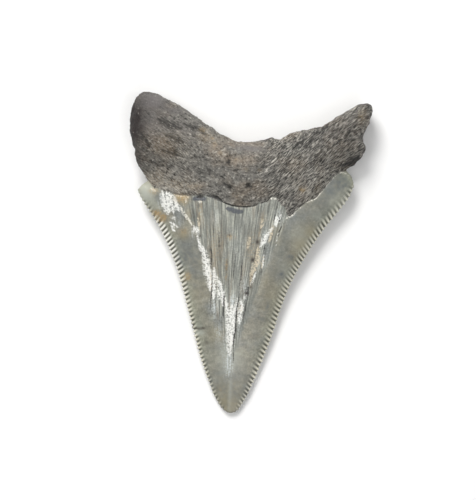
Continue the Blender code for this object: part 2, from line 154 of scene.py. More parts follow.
# Painted glare: white streaks of painted highlight where the glossy enameloid catches the light.
PAINTED_GLARE_STREAKS = (
    (0.55, (-17.1, 45.3), (-16.7, 43.6), (-16.3, 42.2), (-15.7, 40.7)),
    (0.55, (-16.2, 45.3), (-15.8, 44.0), (-15.6, 42.8), (-15.4, 41.2)),
    (0.5, (-15.5, 45.2), (-15.1, 43.8), (-14.7, 42.4), (-14.4, 41.0)),
    (0.35, (-14.9, 44.8), (-14.3, 43.6), (-13.9, 42.2)),
    (0.35, (-13.7, 42.9), (-13.2, 41.5)),
    (0.3, (-14.7, 40.3), (-14.1, 39.7)),
    (0.2, (-15.3, 39.1), (-14.3, 38.7), (-13.3, 38.1)),
    (0.15, (-15.0, 38.5), (-14.2, 38.0)),
    (0.2, (-14.7, 37.8), (-13.8, 37.2)),
    (0.5, (-10.3, 38.6), (-9.6, 37.8), (-9.1, 37.0)),
    (0.24, (-9.4, 37.2), (-8.9, 35.6), (-8.5, 34.4), (-8.1, 33.0)),
    (0.62, (-8.0, 34.4), (-7.4, 32.8), (-7.0, 31.3), (-6.7, 29.9), (-6.3, 28.4), (-6.0, 27.0), (-5.8, 25.6)),
    (0.4, (-6.9, 30.8), (-6.3, 29.6), (-5.9, 28.6)),
    (0.42, (-5.3, 30.2), (-5.2, 28.5), (-5.1, 26.8), (-5.0, 25.4), (-5.0, 23.8)),
    (0.42, (-4.5, 28.4), (-3.8, 26.7), (-3.3, 25.2), (-3.1, 24.0), (-3.0, 22.5)),
    (0.3, (-4.2, 25.9), (-3.9, 24.7), (-3.8, 23.6)),
    (0.36, (-2.6, 24.2), (-2.2, 22.6), (-1.9, 20.9), (-1.6, 18.2), (-1.5, 16.2), (-1.3, 14.6)),
    (0.36, (-0.1, 24.2), (-0.3, 22.7), (-0.5, 21.0), (-0.5, 18.3), (-0.5, 16.0), (-0.6, 13.9)),
    (0.55, (-1.1, 22.6), (-1.2, 20.8), (-1.1, 18.9)),
    (0.62, (-1.1, 18.4), (-1.0, 16.9), (-0.9, 15.2), (-0.9, 13.8), (-0.9, 12.3)),
    (0.2, (1.9, 26.0), (1.6, 24.9), (1.4, 23.8)),
    (0.42, (0.7, 24.2), (0.9, 22.6), (0.8, 21.0), (0.6, 18.8)),
    (0.2, (3.5, 30.0), (3.0, 28.6), (2.5, 27.1)),
    (0.32, (6.4, 39.4), (5.6, 38.4), (4.8, 37.2), (4.3, 36.2), (3.9, 35.0)),
    (0.35, (5.2, 37.6), (4.9, 36.8), (4.5, 35.8)),
    (0.2, (7.0, 41.8), (6.8, 40.8), (6.5, 40.0)),
    (0.24, (7.9, 42.2), (7.5, 41.4), (7.2, 40.6), (6.8, 39.4)),
    (0.14, (4.9, 34.0), (4.8, 32.3), (4.7, 30.6)),
    (0.08, (7.5, 39.2), (7.4, 37.5), (7.2, 35.6)),
)
# Thin pale rims where the enameloid or its cover ends, partly painted highlight where these edges catch the
# light.
PALE_RIMS_AND_HIGHLIGHTS = (
    (0.24, (-13.2, 42.6), (-12.6, 41.5), (-11.8, 40.5), (-11.0, 39.6), (-10.3, 38.6)),
    (0.2, (-12.1, 44.4), (-12.0, 43.2)),
    (0.2, (8.8, 41.3), (9.6, 41.9), (10.4, 42.5), (11.0, 43.5), (11.9, 43.9)),
    (0.11, (12.6, 44.8), (13.5, 45.3), (14.6, 45.8), (15.3, 46.6), (15.9, 47.5), (17.0, 49.0), (17.6, 49.8),
     (18.5, 50.9), (19.3, 51.6), (20.8, 51.8)),
    (0.1, (14.9, 47.8), (15.8, 49.1), (16.6, 50.1), (17.7, 51.3)),
    (0.2, (-9.6, 43.8), (-9.1, 43.6), (-8.6, 43.8)),
    (0.16, (5.2, 45.1), (5.8, 45.4), (6.7, 45.3)),
    (0.26, (-19.6, 45.9), (-19.0, 45.5), (-18.4, 45.3)),
    (0.15, (18.6, 51.0), (19.6, 51.7), (20.5, 51.8), (21.4, 51.2)),
)
# Tan crust in broken ribbons along the worn field's edges.
TAN_RIBBONS = (
    (0.46, (3.6, 35.3), (3.5, 33.8), (3.4, 32.1), (3.0, 30.7), (2.6, 29.4), (2.4, 28.0)),
    (0.26, (4.1, 41.4), (4.0, 40.4), (4.0, 39.6), (3.8, 38.6)),
    (0.28, (6.4, 39.8), (6.1, 38.5), (6.0, 37.4), (5.6, 36.2)),
    (0.2, (4.8, 33.4), (4.7, 32.0), (4.5, 30.4)),
    (0.25, (1.6, 37.4), (1.6, 36.1), (1.3, 34.6)),
    (0.2, (-9.4, 40.6), (-9.0, 39.2), (-8.8, 37.8)),
    # This ribbon along the crown line is partly painted light, laid over the shade of the step there.
    (0.3, (-14.6, 44.9), (-12.5, 44.5), (-11.2, 44.5)),
    (0.16, (-6.2, 30.6), (-5.9, 29.0), (-5.8, 27.2), (-5.6, 25.4)),
    (0.3, (0.9, 22.8), (0.95, 22.0), (0.9, 21.2)),
)
# Dark plates of crust left under the root.
PLATES = (
    (0.55, (-3.2, 42.6), (-2.4, 42.45), (-1.4, 42.3), (-0.4, 42.2)),
    (0.6, (-10.2, 44.2), (-9.4, 44.4), (-8.4, 44.3)),
)
# Dark folds of the left lobe, deep holes of the root and grooves of the right lobe.
ROOT_FOLDS = (
    (0.6, (-18.9, 60.2), (-17.7, 59.8), (-16.6, 59.2), (-15.3, 58.9), (-14.0, 58.4)),
    (0.4, (-13.6, 59.5), (-12.0, 59.1), (-10.8, 58.8), (-9.7, 58.3)),
    (0.35, (-10.2, 58.3), (-9.0, 57.8), (-8.2, 57.3)),
    (0.5, (-17.0, 57.1), (-15.4, 56.4), (-14.3, 56.0), (-13.2, 55.4)),
    (0.6, (-21.9, 56.8), (-20.9, 55.6), (-19.8, 54.0)),
    (0.35, (-17.5, 53.7), (-16.0, 53.4), (-14.3, 53.1), (-12.9, 52.6)),
    (0.35, (-20.1, 51.5), (-18.6, 51.0), (-16.9, 50.4)),
    (0.3, (-4.6, 47.9), (-3.9, 47.4)),
    (0.4, (-3.4, 47.3), (-3.0, 46.6)),
    (0.4, (0.0, 47.9), (0.7, 47.5), (1.4, 47.5)),
    (0.6, (3.4, 57.6), (4.2, 57.3)),
    (0.25, (-4.4, 51.8), (-3.2, 52.6)),
    (0.25, (-2.6, 50.6), (-1.6, 50.8)),
    (0.35, (9.2, 55.6), (10.6, 57.0), (12.0, 58.2)),
    (0.4, (12.6, 58.0), (14.6, 59.8), (16.6, 61.2)),
    (0.35, (11.4, 56.2), (12.6, 57.2), (13.6, 58.4)),
    (0.25, (17.4, 57.0), (18.4, 57.8), (19.4, 58.6)),
    (0.5, (19.4, 53.2), (20.6, 53.5), (22.0, 54.4), (23.4, 55.6)),
)
# How fast a line or a plate narrows towards its ends, and the share of it at each end that doesn't.
LINE_TAPER = 0.4
PLATE_TAPER = 0.08
LINE_END = 0.02
DISPLAY_LINES = {"crack": CRACKS, "polish": PAINTED_GLARE_STREAKS, "pale_rim": PALE_RIMS_AND_HIGHLIGHTS,
                 "ribbon": TAN_RIBBONS, "fold": ROOT_FOLDS}

# Spots, in millimetres: x, y, spread across, spread along and strength.
# Rust, by the crown line, along the worn field and in the root's holes.
RUST_STAINS = (
    (23.4, 63.6, 1.0, 1.4, 0.6), (-5.2, 34.5, 1.6, 5.0, 0.3), (-16.9, 39.9, 0.9, 0.7, 2.4),
    (-18.0, 40.8, 0.9, 0.6, 2.0), (-2.3, 4.9, 0.25, 0.25, 0.6), (-18.5, 48.0, 2.5, 1.8, 0.35),
    (-16.5, 54.5, 5.0, 3.5, 0.18), (-14.0, 47.0, 3.0, 1.2, 0.35), (-18.9, 45.4, 1.1, 0.7, 0.7),
    (-13.0, 44.2, 1.4, 0.9, 1.1), (-12.2, 37.4, 0.9, 0.8, 0.5), (-8.9, 41.8, 0.3, 2.0, 0.8),
    (-11.0, 41.0, 0.4, 1.4, 0.2), (-10.8, 28.0, 0.7, 0.8, 1.2), (-2.5, 36.8, 0.5, 0.6, 1.0),
    (-1.4, 36.8, 0.3, 0.4, 0.4), (4.2, 41.2, 0.6, 0.9, 0.35), (3.7, 37.6, 0.3, 2.4, 0.5),
    (2.2, 34.6, 1.1, 3.4, 0.35), (2.5, 28.0, 0.4, 2.2, 0.4), (6.0, 38.2, 0.5, 2.0, 0.2),
    (-2.8, 31.0, 0.3, 1.4, 0.8), (-2.7, 28.6, 0.2, 1.2, 0.7), (-10.6, 46.8, 2.0, 0.8, 0.4),
    (11.9, 47.6, 0.7, 0.6, 1.2), (15.2, 48.4, 0.8, 1.4, 0.25), (-9.4, 58.6, 0.9, 0.5, 0.7),
    (-7.4, 57.0, 0.6, 0.5, 0.7), (-6.8, 55.8, 0.5, 0.6, 0.6), (-8.6, 57.0, 2.2, 1.2, 0.3),
    (-5.5, 54.0, 0.5, 0.4, 0.5), (-2.0, 52.8, 0.5, 0.3, 0.4), (0.0, 50.8, 0.6, 0.4, 0.4),
    (2.8, 51.0, 0.5, 0.4, 0.4), (-1.4, 45.4, 1.4, 0.7, 0.3),
)
# Olive stains of the blade, the field's sides and the tip.
OLIVE_STAINS = (
    (6.4, 26.0, 2.2, 5.0, 0.28), (-12.3, 43.7, 0.9, 1.1, 0.8), (-11.4, 41.0, 0.5, 1.4, 0.5),
    (14.0, 38.8, 1.6, 1.6, 0.9), (12.6, 36.4, 1.8, 1.8, 0.9), (11.0, 33.6, 1.3, 1.8, 0.5),
    (7.4, 39.0, 1.0, 1.4, 0.4), (7.6, 37.0, 1.0, 1.6, 0.3), (5.6, 28.4, 0.8, 2.6, 0.4),
    (-8.4, 24.0, 1.6, 3.0, 0.4), (-4.2, 15.8, 1.6, 2.4, 0.45), (-12.2, 36.6, 1.6, 1.2, 0.5),
    (-2.4, 5.0, 0.7, 0.7, 0.45), (-21.2, 44.4, 0.7, 1.2, 0.35), (-0.2, 1.8, 3.4, 3.0, 0.8),
    (-0.5, 5.5, 3.0, 3.0, 0.5),
)
# Blue-grey mottles of the enameloid.
BLUE_MOTTLES = (
    (10.4, 33.4, 0.8, 0.7, 1.0), (8.9, 29.6, 0.8, 0.8, 0.9), (-0.3, 5.0, 4.5, 6.0, 0.38),
    (-8.6, 26.5, 1.6, 3.0, 0.25), (7.0, 29.4, 0.5, 0.5, 0.3), (6.3, 23.0, 0.4, 0.8, 0.7),
    (5.6, 20.2, 0.8, 0.6, 0.4), (4.7, 17.1, 0.4, 0.6, 0.35), (-17.6, 43.7, 0.8, 0.9, 0.6),
    (-11.6, 32.2, 1.8, 2.2, 0.7), (-9.3, 31.4, 1.3, 2.6, 0.6), (20.2, 49.5, 2.2, 2.0, 0.75),
    (16.3, 45.7, 1.5, 1.0, 0.55), (18.0, 47.6, 1.6, 1.4, 0.5), (-10.8, 35.6, 1.4, 1.4, 0.3),
    (5.8, 34.0, 0.8, 3.0, 0.35), (13.0, 43.0, 1.8, 1.2, 0.25), (4.6, 18.0, 1.0, 2.4, 0.2),
    (2.2, 22.0, 0.8, 2.6, 0.2), (-3.6, 18.6, 1.0, 1.6, 0.3), (-13.2, 40.6, 0.9, 1.4, 0.4),
)
# Brown specks of the worn field, and the chip in the left edge.
DARK_SPECKS = (
    (-4.5, 34.8, 0.3, 0.22, 1.0), (-2.6, 37.2, 0.22, 0.25, 0.9), (-2.8, 35.4, 0.16, 0.3, 0.7),
    (-2.7, 31.6, 0.16, 0.3, 0.7), (-3.0, 30.4, 0.2, 0.3, 0.6), (3.8, 41.3, 0.2, 0.2, 0.9),
    (3.7, 38.9, 0.16, 0.3, 0.8), (3.3, 36.2, 0.36, 0.5, 1.2), (2.9, 33.7, 0.14, 0.4, 0.8),
    (2.6, 32.4, 0.4, 0.5, 1.2), (2.6, 29.0, 0.16, 0.3, 0.8), (2.6, 26.7, 0.2, 0.3, 0.8),
    (1.7, 25.4, 0.4, 0.45, 1.1), (4.6, 30.2, 0.14, 0.2, 0.6), (2.1, 35.7, 0.2, 0.2, 0.7),
    (-6.4, 33.8, 0.22, 0.5, 0.7), (-8.6, 36.7, 0.2, 0.4, 0.9), (-10.3, 38.4, 0.18, 0.22, 0.9),
    (-8.3, 33.2, 0.18, 0.4, 0.6), (-5.8, 14.5, 0.3, 0.3, 0.5), (2.4, 26.6, 0.15, 0.3, 0.7),
    (-9.9, 37.7, 0.15, 0.15, 0.8), (0.5, 22.4, 0.2, 0.2, 0.5), (-9.3, 42.9, 0.3, 0.4, 0.5),
    (-9.3, 17.7, 0.5, 0.6, 1.0), (-8.0, 17.3, 1.0, 0.22, 0.8), (-6.8, 17.5, 0.6, 0.25, 0.9),
)
# Places where the root is worn smooth.
SMOOTH_PATCHES = (
    (-20.6, 63.6, 3.6, 2.4, 1.0), (-16.0, 62.2, 2.6, 1.0, 0.7), (0.4, 55.4, 3.2, 0.8, 0.7),
    (-20.0, 59.6, 4.5, 3.6, 0.55), (-14.0, 58.6, 3.5, 2.0, 0.35),
)
# Painted shade: dark patches on the root's sides and lobes, strongest along the left lobe's outer side.
PAINTED_SHADE_PATCHES = (
    (-25.2, 58.5, 4.1, 7.0, 1.4), (-24.2, 52.4, 2.8, 3.2, 1.0), (-22.8, 49.6, 1.8, 1.8, 0.7),
    (-22.5, 66.8, 4.0, 2.0, 0.7), (-19.0, 58.0, 6.0, 6.0, 0.3), (-13.0, 57.0, 5.0, 4.0, 0.2),
    (22.6, 54.0, 1.8, 1.4, 0.8), (24.2, 56.8, 1.4, 1.6, 0.4), (25.0, 60.5, 0.9, 3.0, 0.5),
    (21.5, 62.0, 3.5, 3.5, 0.2), (23.6, 66.4, 1.8, 0.8, 0.8), (18.5, 60.5, 6.0, 3.5, 0.42),
    (3.6, 57.4, 0.8, 0.6, 0.6), (-1.0, 50.6, 3.0, 1.4, 0.14),
)
# Paler places of the crown: the shoulders and a flake scar among them, and a painted highlight along the
# ridge above the tip.
PALE_ENAMEL_AND_RIDGE_HIGHLIGHT = (
    (-20.6, 44.8, 1.9, 2.0, 1.0), (-18.6, 42.6, 1.2, 1.6, 0.4), (-7.6, 16.4, 1.3, 0.5, 0.6),
    (-0.3, 5.0, 0.45, 5.0, 0.4), (12.4, 38.0, 2.4, 3.0, 0.35), (19.0, 45.9, 2.6, 2.4, 0.35),
    (9.5, 31.0, 2.0, 3.0, 0.25), (-0.8, 11.5, 2.8, 3.4, 0.55), (15.0, 42.6, 1.6, 1.2, 0.35),
)
# Paler places of the root, most of them by the crown. The band along the crown line at the left is painted
# light, laid over the shade of the step there.
PALE_BONE_AND_PAINTED_LIGHT = (
    (11.9, 47.6, 0.9, 0.7, 1.4), (13.0, 46.8, 2.4, 1.8, 1.1), (16.6, 49.8, 2.6, 2.4, 1.0),
    (-16.8, 48.4, 3.4, 2.2, 0.9), (-14.5, 46.0, 3.6, 0.7, 0.7), (9.6, 44.6, 1.4, 1.2, 0.4),
    (10.5, 48.5, 3.4, 2.2, 1.0), (19.6, 55.4, 2.4, 1.6, 0.7), (-12.0, 51.4, 3.0, 1.6, 0.4),
    (-18.6, 58.2, 2.2, 0.7, 0.5), (-14.5, 57.2, 2.6, 0.6, 0.7), (-9.1, 58.7, 1.0, 0.5, 0.8),
    (-7.4, 56.9, 0.7, 0.6, 0.6),
)
# Painted glare specks: thin white specks of painted highlight round the painted glare streaks.
GLARE_SPECKLE_PATCHES = (
    (-0.9, 10.4, 0.8, 2.6, 1.7), (-17.3, 43.2, 0.6, 1.6, 0.7), (-1.9, 14.0, 1.1, 3.0, 0.5),
    (-4.8, 22.0, 0.8, 2.4, 0.9), (-3.4, 17.6, 1.0, 3.0, 0.5), (-1.2, 23.6, 1.0, 1.4, 0.8),
    (1.2, 26.4, 0.7, 2.2, 0.6), (7.3, 41.2, 0.7, 1.6, 0.9), (4.7, 37.2, 0.8, 1.6, 0.8),
    (0.8, 18.4, 0.5, 2.2, 0.5), (-13.6, 39.4, 1.4, 1.6, 0.35), (-10.2, 37.0, 0.8, 1.6, 0.35),
    (-5.6, 40.6, 0.8, 2.0, 0.3), (5.2, 34.0, 0.9, 3.0, 0.3), (-1.2, 22.6, 1.0, 1.6, 0.4),
    (-0.9, 35.1, 1.8, 3.5, 0.16),
)
DISPLAY_SPOTS = {"rust": RUST_STAINS, "mottle": BLUE_MOTTLES, "speck": DARK_SPECKS,
                 "frost": GLARE_SPECKLE_PATCHES}
# These go round the outline onto the resting face.
SHARED_SPOTS = {"olive": OLIVE_STAINS, "smooth": SMOOTH_PATCHES, "grime": PAINTED_SHADE_PATCHES}

# A mark's value on the face that doesn't have it: this many half widths, or this far off the field.
FAR = 9.0
OFF_FIELD = -10 * MM
# Marks that are vectors. The others are numbers.
VECTOR_MARKS = ("fan", "grain", "comb", "inward")

# The bony fibres' slope, against millimetres across the root.
FIBRE_SLOPES = (
    (-26, -0.5), (-12, -0.62), (-5, -0.35), (0, 0.25), (5, 0.9), (9, 1.15), (16, 1.0), (26, 0.75),
)
FIBRE_SPAN = 26 * MM
FIBRE_STATIONS = 105
# How bare the fibres lie, against millimetres across the root: the middle is granular.
FIBRE_BARENESS = ((-26, 0.42), (-13, 0.45), (-8, 0.2), (1, 0.15), (5, 0.8), (26, 0.9))

# ------------------------ sizes

# Heights, each against the distance from the tip.
EDGE_HEIGHT = mm((0, 1.0), (15, 1.7), (30, 2.6), (45, 3.5), (66, 3.8))
CREASE_RISE = mm((0, 0.15), (2, 0.7), (5, 1.35), (9, 1.95), (15, 2.6), (25, 3.4), (36, 4.2), (47, 4.7))
LABIAL_DROP = mm((0, 0.35), (5, 1.2), (12, 1.75), (20, 2.2), (30, 2.75), (40, 3.2), (47, 3.2))
# The least rise of the display face, which also keeps a width from being nothing.
LEAST_RISE = 0.1 * MM
NARROWEST_FLANK = 0.2
FLANK_BULGE = 0.3
FLANK_LIMIT = 1.6
CREASE_SOFTNESS = 0.035
FIELD_LEVEL = 0.97
FIELD_FLOOR = 0.9
FIELD_DOME = 0.2
DOME_HALF_WIDTH = 12 * MM
FURROW_DEPTH = 0.2 * MM
FURROWS_ACROSS = 2.5
FURROW_LENGTH = 14 * MM

ROOT_RIM_HEIGHT = 5.4 * MM
RIM_RUN = 7.0 * MM
LEFT_LOBE_RISE = 5.8 * MM
RIGHT_LOBE_RISE = 4.6 * MM
LOBE_REACH = 12 * MM
LOBE_TAPER = 0.3
LOBE_TAPER_START = 54 * MM
LOBE_TAPER_RUN = 12 * MM
BULGE_RISE = 3.0 * MM
BULGE_CENTRE = (-1.0 * MM, 50.5 * MM)
BULGE_SPREAD = (12.0 * MM, 6.0 * MM)
ROOT_ROUNDING = 5.2 * MM
LABIAL_ROUNDING = 3.2 * MM
LABIAL_MARGIN = 0.4 * MM
LABIAL_FULLNESS = 0.8
LABIAL_HOLLOW = 0.6 * MM
LABIAL_HOLLOW_CENTRE = (0.0, 52.0 * MM)
LABIAL_HOLLOW_SPREAD = (9.0 * MM, 9.0 * MM)
LABIAL_GROOVE_DEPTH = 0.4 * MM
LABIAL_GROOVE_SPREAD = 1.0 * MM
CROWN_STEP = 0.35 * MM
STEP_RUN = 0.5 * MM
GUM_GROOVE_DEPTHS = (0.1 * MM, 0.5 * MM)
GUM_GROOVE_SPREAD = 0.6 * MM
ROOT_FACE_RUNS = (5.5 * MM, 10.0 * MM)
# The root's broad lumps and ridges. Geometry Nodes add the finer ones.
LUMP_HEIGHT = 0.5 * MM
LUMP_SIZE = 4.5 * MM
RIDGE_HEIGHT = 0.5 * MM
RIDGE_LENGTH = 9.0 * MM
RIDGE_WIDTH = 2.4 * MM
LOBE_SLOPES = (-0.6, 0.75)
# Each pit's place and spread.
PITS = mm((-3.1, 46.9, 0.5), (0.6, 47.6, 0.5), (-3.1, 53.4, 0.5), (4.6, 57.4, 0.6), (14.0, 53.5, 0.5))
PIT_DEPTH = 0.5 * MM
HOLLOW = mm((-17.5, 61.6), (-7.5, 55.6))
HOLLOW_SPREAD = 1.3 * MM
HOLLOW_DEPTH = 0.6 * MM
CHIP = (-9.3 * MM, 17.4 * MM)
CHIP_SPREAD = (1.1 * MM, 1.1 * MM)
CHIP_DEPTH = 0.4 * MM

# Serrations. These tables go with the run along the whole serrated edge, in millimetres: their
# pitch, their share of the full depth, the length of their flutes, and how far the crests between
# them are bare and carry a painted white glint.
SERRATION_PITCHES = (
    (0, 0.93), (10, 0.9), (16, 0.86), (24, 0.92), (44, 0.9), (54, 0.85), (58, 0.8), (65, 0.95), (76, 0.93),
    (86, 0.81), (96, 0.86), (104, 1.03), (125, 1.05),
)
SERRATION_DEPTHS = (
    (0, 0), (2.6, 0), (3.6, 0.5), (6, 0.8), (11.5, 1.0), (35, 1.0), (42, 0.92), (47, 0.85), (51, 0.75),
    (53, 0.5), (54.5, 0), (56, 0.5), (58, 0.8), (62, 0.95), (70, 0.95), (90, 0.95), (103, 0.95),
    (107.5, 0.85), (109.5, 0.6), (110.8, 0), (130, 0),
)
SERRATION_LENGTHS = (
    (0, 0.7), (6, 0.8), (12, 1.0), (22, 1.0), (30, 0.75), (40, 0.7), (47, 0.68), (54, 0.6), (58, 0.85),
    (64, 0.95), (72, 1.05), (80, 1.15), (92, 1.2), (104, 1.05), (130, 0.95),
)
SERRATION_GLINTS = (
    (0, 0), (4, 0.1), (9, 0.15), (12, 0.9), (18, 1.0), (24, 0.6), (30, 0.35), (40, 0.2), (62, 0.2),
    (72, 0.1), (86, 0.25), (100, 0.35), (112, 0.3), (130, 0),
)
EDGE_STATIONS = 2000
SERRATION_DEPTH = 0.36 * MM
SERRATION_WEAR = (0.7, 1.1)
NOTCH_SHARPNESS = 1.3
CUT_STEEPNESS = 4.0
FLUTE_SHARE = 0.65
FLUTE_REACH = 2.1 * MM
# The flutes lean towards the root, so they lean to the other side past the tip, which is this run in
# millimetres along the edge. They turn over this many millimetres.
TIP_RUN = 54.5
LEAN_TURN = 4.0
FLUTE_LEAN = 0.22
FLUTE_BEND = 0.05
# The blade is thin and paler this far in, away from the tip.
THIN_BLADE = 3.2 * MM
THIN_START = 6 * MM
THIN_RUN = 12 * MM
# Faint streaks run into the flanks from the serrations, this long.
COMB_LENGTH = 4.0 * MM
# The worn field's fibres spread like a fan from a point below the tip.
FAN_APEX = (-0.7 * MM, -10.0 * MM)
FAN_REACH = 50 * MM

# Grid of the fine blank.
ROOT_ROWS = 100
ROOT_ROW_CROWDING = 0.45
SHOULDER_ROWS = 20
EDGE_ROWS = 448
TURNING_ROWS = 96
TIP_ROWS = 48
MIDDLE_COLUMNS = 240
BLADE_BAND = 2.2 * MM
TIP_BAND = 0.6 * MM
BAND_STEPS = np.array((0.0, 0.04, 0.1, 0.18, 0.28, 0.42, 0.6, 0.8, 1.0))
WIDEST_BAND = 0.3
SEAM_ROW = ROOT_ROWS
BLADE_ROW = SEAM_ROW + SHOULDER_ROWS
LAST_ROW = BLADE_ROW + EDGE_ROWS
BAND_COLUMNS = len(BAND_STEPS) - 1
LAST_COLUMN = MIDDLE_COLUMNS + 2 * BAND_COLUMNS
# Tile sizes, in grid cells: width in the bands, width on the root, then height and width on the crown.
DISPLAY_TILES = (1, 1, 2, 2)
RESTING_TILES = (2, 6, 4, 6)


# ------------------------ curves

def smooth_curve(points, per_span=16):
    """A Catmull-Rom curve through the points."""
    first = 2 * points[0] - points[1]
    last = 2 * points[-1] - points[-2]
    guides = np.vstack([first, points, last])
    t = np.linspace(0, 1, per_span, endpoint=False)[:, None]
    spans = [
        0.5 * (2 * b + (c - a) * t + (2 * a - 5 * b + 4 * c - d) * t**2 + (3 * b - a - 3 * c + d) * t**3)
        for a, b, c, d in zip(guides, guides[1:], guides[2:], guides[3:])
    ]
    return np.vstack([*spans, points[-1:]])


def lengths(curve):
    """Length of the curve up to each of its points."""
    return np.append(0, np.cumsum(np.linalg.norm(np.diff(curve, axis=0), axis=1)))


def along(points, shares):
    """Where the curve through the points is, at each share of its length."""
    curve = smooth_curve(points)
    run = lengths(curve)
    at = np.asarray(shares) * run[-1]
    return np.stack([np.interp(at, run, curve[:, 0]), np.interp(at, run, curve[:, 1])], axis=-1)


def smooth_step(t):
    """From 0 to 1 as t does, level at both ends."""
    t = np.clip(t, 0, 1)
    return t * t * (3 - 2 * t)


def soft_min(*values):
    """The least of the values, rounded off where two of them cross."""
    return -CREASE_SOFTNESS * np.log(sum(np.exp(-value / CREASE_SOFTNESS) for value in values))


def x_on(curve, y):
    """The curve's x at each y, on a curve that runs down the tooth."""
    upward = smooth_curve(curve)[::-1]
    return np.interp(y, upward[:, 1], upward[:, 0])


def y_on(curve, x):
    """The curve's y at each x, on a curve that crosses the tooth."""
    rightward = smooth_curve(curve)
    return np.interp(x, rightward[:, 0], rightward[:, 1])


def nearest(points, x, y):
    """How far each place is from the curve, and how far along the curve its nearest point is."""
    curve = smooth_curve(points, per_span=8)
    run = lengths(curve)
    gap = np.full(x.shape, np.inf)
    at = np.zeros(x.shape)
    for start, end, run_start in zip(curve, curve[1:], run):
        step = end - start
        share = ((x - start[0]) * step[0] + (y - start[1]) * step[1]) / (step @ step)
        share = np.clip(share, 0, 1)
        away = np.hypot(x - start[0] - share * step[0], y - start[1] - share * step[1])
        closer = away < gap
        gap = np.where(closer, away, gap)
        at = np.where(closer, run_start + share * np.linalg.norm(step), at)
    return gap, at


def mound(x, y, centre, spread):
    """A rounded mound of height 1 over its centre."""
    return np.exp(-((x - centre[0]) / spread[0]) ** 2 - ((y - centre[1]) / spread[1]) ** 2)


def rounded(gap, radius):
    """Height share of a rounded edge: 0 at the edge and 1 from the radius inward."""
    return np.sqrt(1 - (1 - np.clip(gap / radius, 0, 1)) ** 2)


def grain(x, y):
    """Perlin noise at each point."""
    values = [noise.noise(Vector((a, b, 0.5))) for a, b in zip(x.flat, y.flat)]
    return np.reshape(values, x.shape)


def looked_up(table, at):
    """The table's value at each place, from pairs of a length in millimetres and a value."""
    return np.interp(at / MM, *np.transpose(table))


# ------------------------ heights

def rim_height(x, y):
    """Height of the outline: low along the cutting edges, higher round the root."""
    edge = np.interp(y, *EDGE_HEIGHT.T)
    above_crown = y - np.interp(x, *CROWN_LINE[[0, -1]].T)
    return edge + (ROOT_RIM_HEIGHT - edge) * smooth_step(above_crown / RIM_RUN)


def flank_rise(share):
    """Rise of a flank, as a share of its crease's, from the cutting edge inward."""
    share = np.clip(share, 0, FLANK_LIMIT)
    return share * (1 + FLANK_BULGE - FLANK_BULGE * share)


def creases(y):
    """The cutting edges' and the creases' x at each y, from left to right."""
    left = x_on(LEFT_BLADE, y)
    right = x_on(RIGHT_BLADE, y)
    least = NARROWEST_FLANK * (right - left) + LEAST_RISE
    crease_left = np.maximum(x_on(LEFT_CREASE, y), left + least)
    crease_right = np.minimum(x_on(RIGHT_CREASE, y), right - least)
    return left, crease_left, crease_right, right


def crown_rise(x, y):
    """Display face of the crown: two flanks up to the creases and a low dome between them."""
    left, crease_left, crease_right, right = creases(y)
    half = np.maximum(crease_right - crease_left, MM) / 2
    across = (x - (crease_left + crease_right) / 2) / half
    dome = FIELD_LEVEL + FIELD_DOME * (1 - across**2) * half / DOME_HALF_WIDTH
    up_left = flank_rise((x - left) / (crease_left - left))
    up_right = flank_rise((right - x) / (right - crease_right))
    share = soft_min(up_left, up_right, np.maximum(dome, FIELD_FLOOR))
    furrows = FURROW_DEPTH * grain(FURROWS_ACROSS * across, y / FURROW_LENGTH)
    in_field = smooth_step(2 - 2 * np.abs(across)) * half / DOME_HALF_WIDTH
    return np.interp(y, *CREASE_RISE.T) * np.maximum(share, 0) + furrows * in_field


def root_relief(x, y):
    """Lumps, ridges and pits of the root, and the hollow along its left lobe."""
    slope = np.interp(x, (-LOBE_REACH, LOBE_REACH), LOBE_SLOPES)
    length = np.sqrt(1 + slope**2)
    forward = (x + slope * y) / length
    sideways = (y - slope * x) / length
    relief = LUMP_HEIGHT * grain(x / LUMP_SIZE, y / LUMP_SIZE)
    relief += RIDGE_HEIGHT * grain(forward / RIDGE_LENGTH, sideways / RIDGE_WIDTH)
    for pit_x, pit_y, spread in PITS:
        relief -= PIT_DEPTH * mound(x, y, (pit_x, pit_y), (spread, spread))
    return relief - HOLLOW_DEPTH * np.exp(-((nearest(HOLLOW, x, y)[0] / HOLLOW_SPREAD) ** 2))


def root_rise(x, y):
    """Display face of the root: two lobes with a bulge between them, rounded off at the rim."""
    lobes = np.interp(x, (-LOBE_REACH, LOBE_REACH), (LEFT_LOBE_RISE, RIGHT_LOBE_RISE))
    lobes = lobes * (1 - LOBE_TAPER * smooth_step((y - LOBE_TAPER_START) / LOBE_TAPER_RUN))
    bulge = BULGE_RISE * mound(x, y, BULGE_CENTRE, BULGE_SPREAD)
    return rounded(nearest(ROOT_RIM, x, y)[0], ROOT_ROUNDING) * (lobes + bulge + root_relief(x, y))


def root_share(x, above_line):
    """How far the surface has turned from crown to root. It turns slower on the lobes."""
    run = np.interp(np.abs(x), (0, LOBE_REACH), ROOT_FACE_RUNS)
    return smooth_step(above_line / run)


def display_rise(x, y):
    """How far the display face stands above the outline's height."""
    above_crown = y - y_on(CROWN_LINE, x)
    above_gum = y - y_on(GUM_LINE, x)
    groove_depth = np.interp(x, (-LOBE_REACH, LOBE_REACH), GUM_GROOVE_DEPTHS)
    groove = groove_depth * np.exp(-((above_gum / GUM_GROOVE_SPREAD - 1) ** 2))
    crown = crown_rise(x, y) + CROWN_STEP * smooth_step(above_gum / STEP_RUN)
    rise = crown + (root_rise(x, y) - crown) * root_share(x, above_crown) - groove
    return np.maximum(rise - CHIP_DEPTH * mound(x, y, CHIP, CHIP_SPREAD), LEAST_RISE)


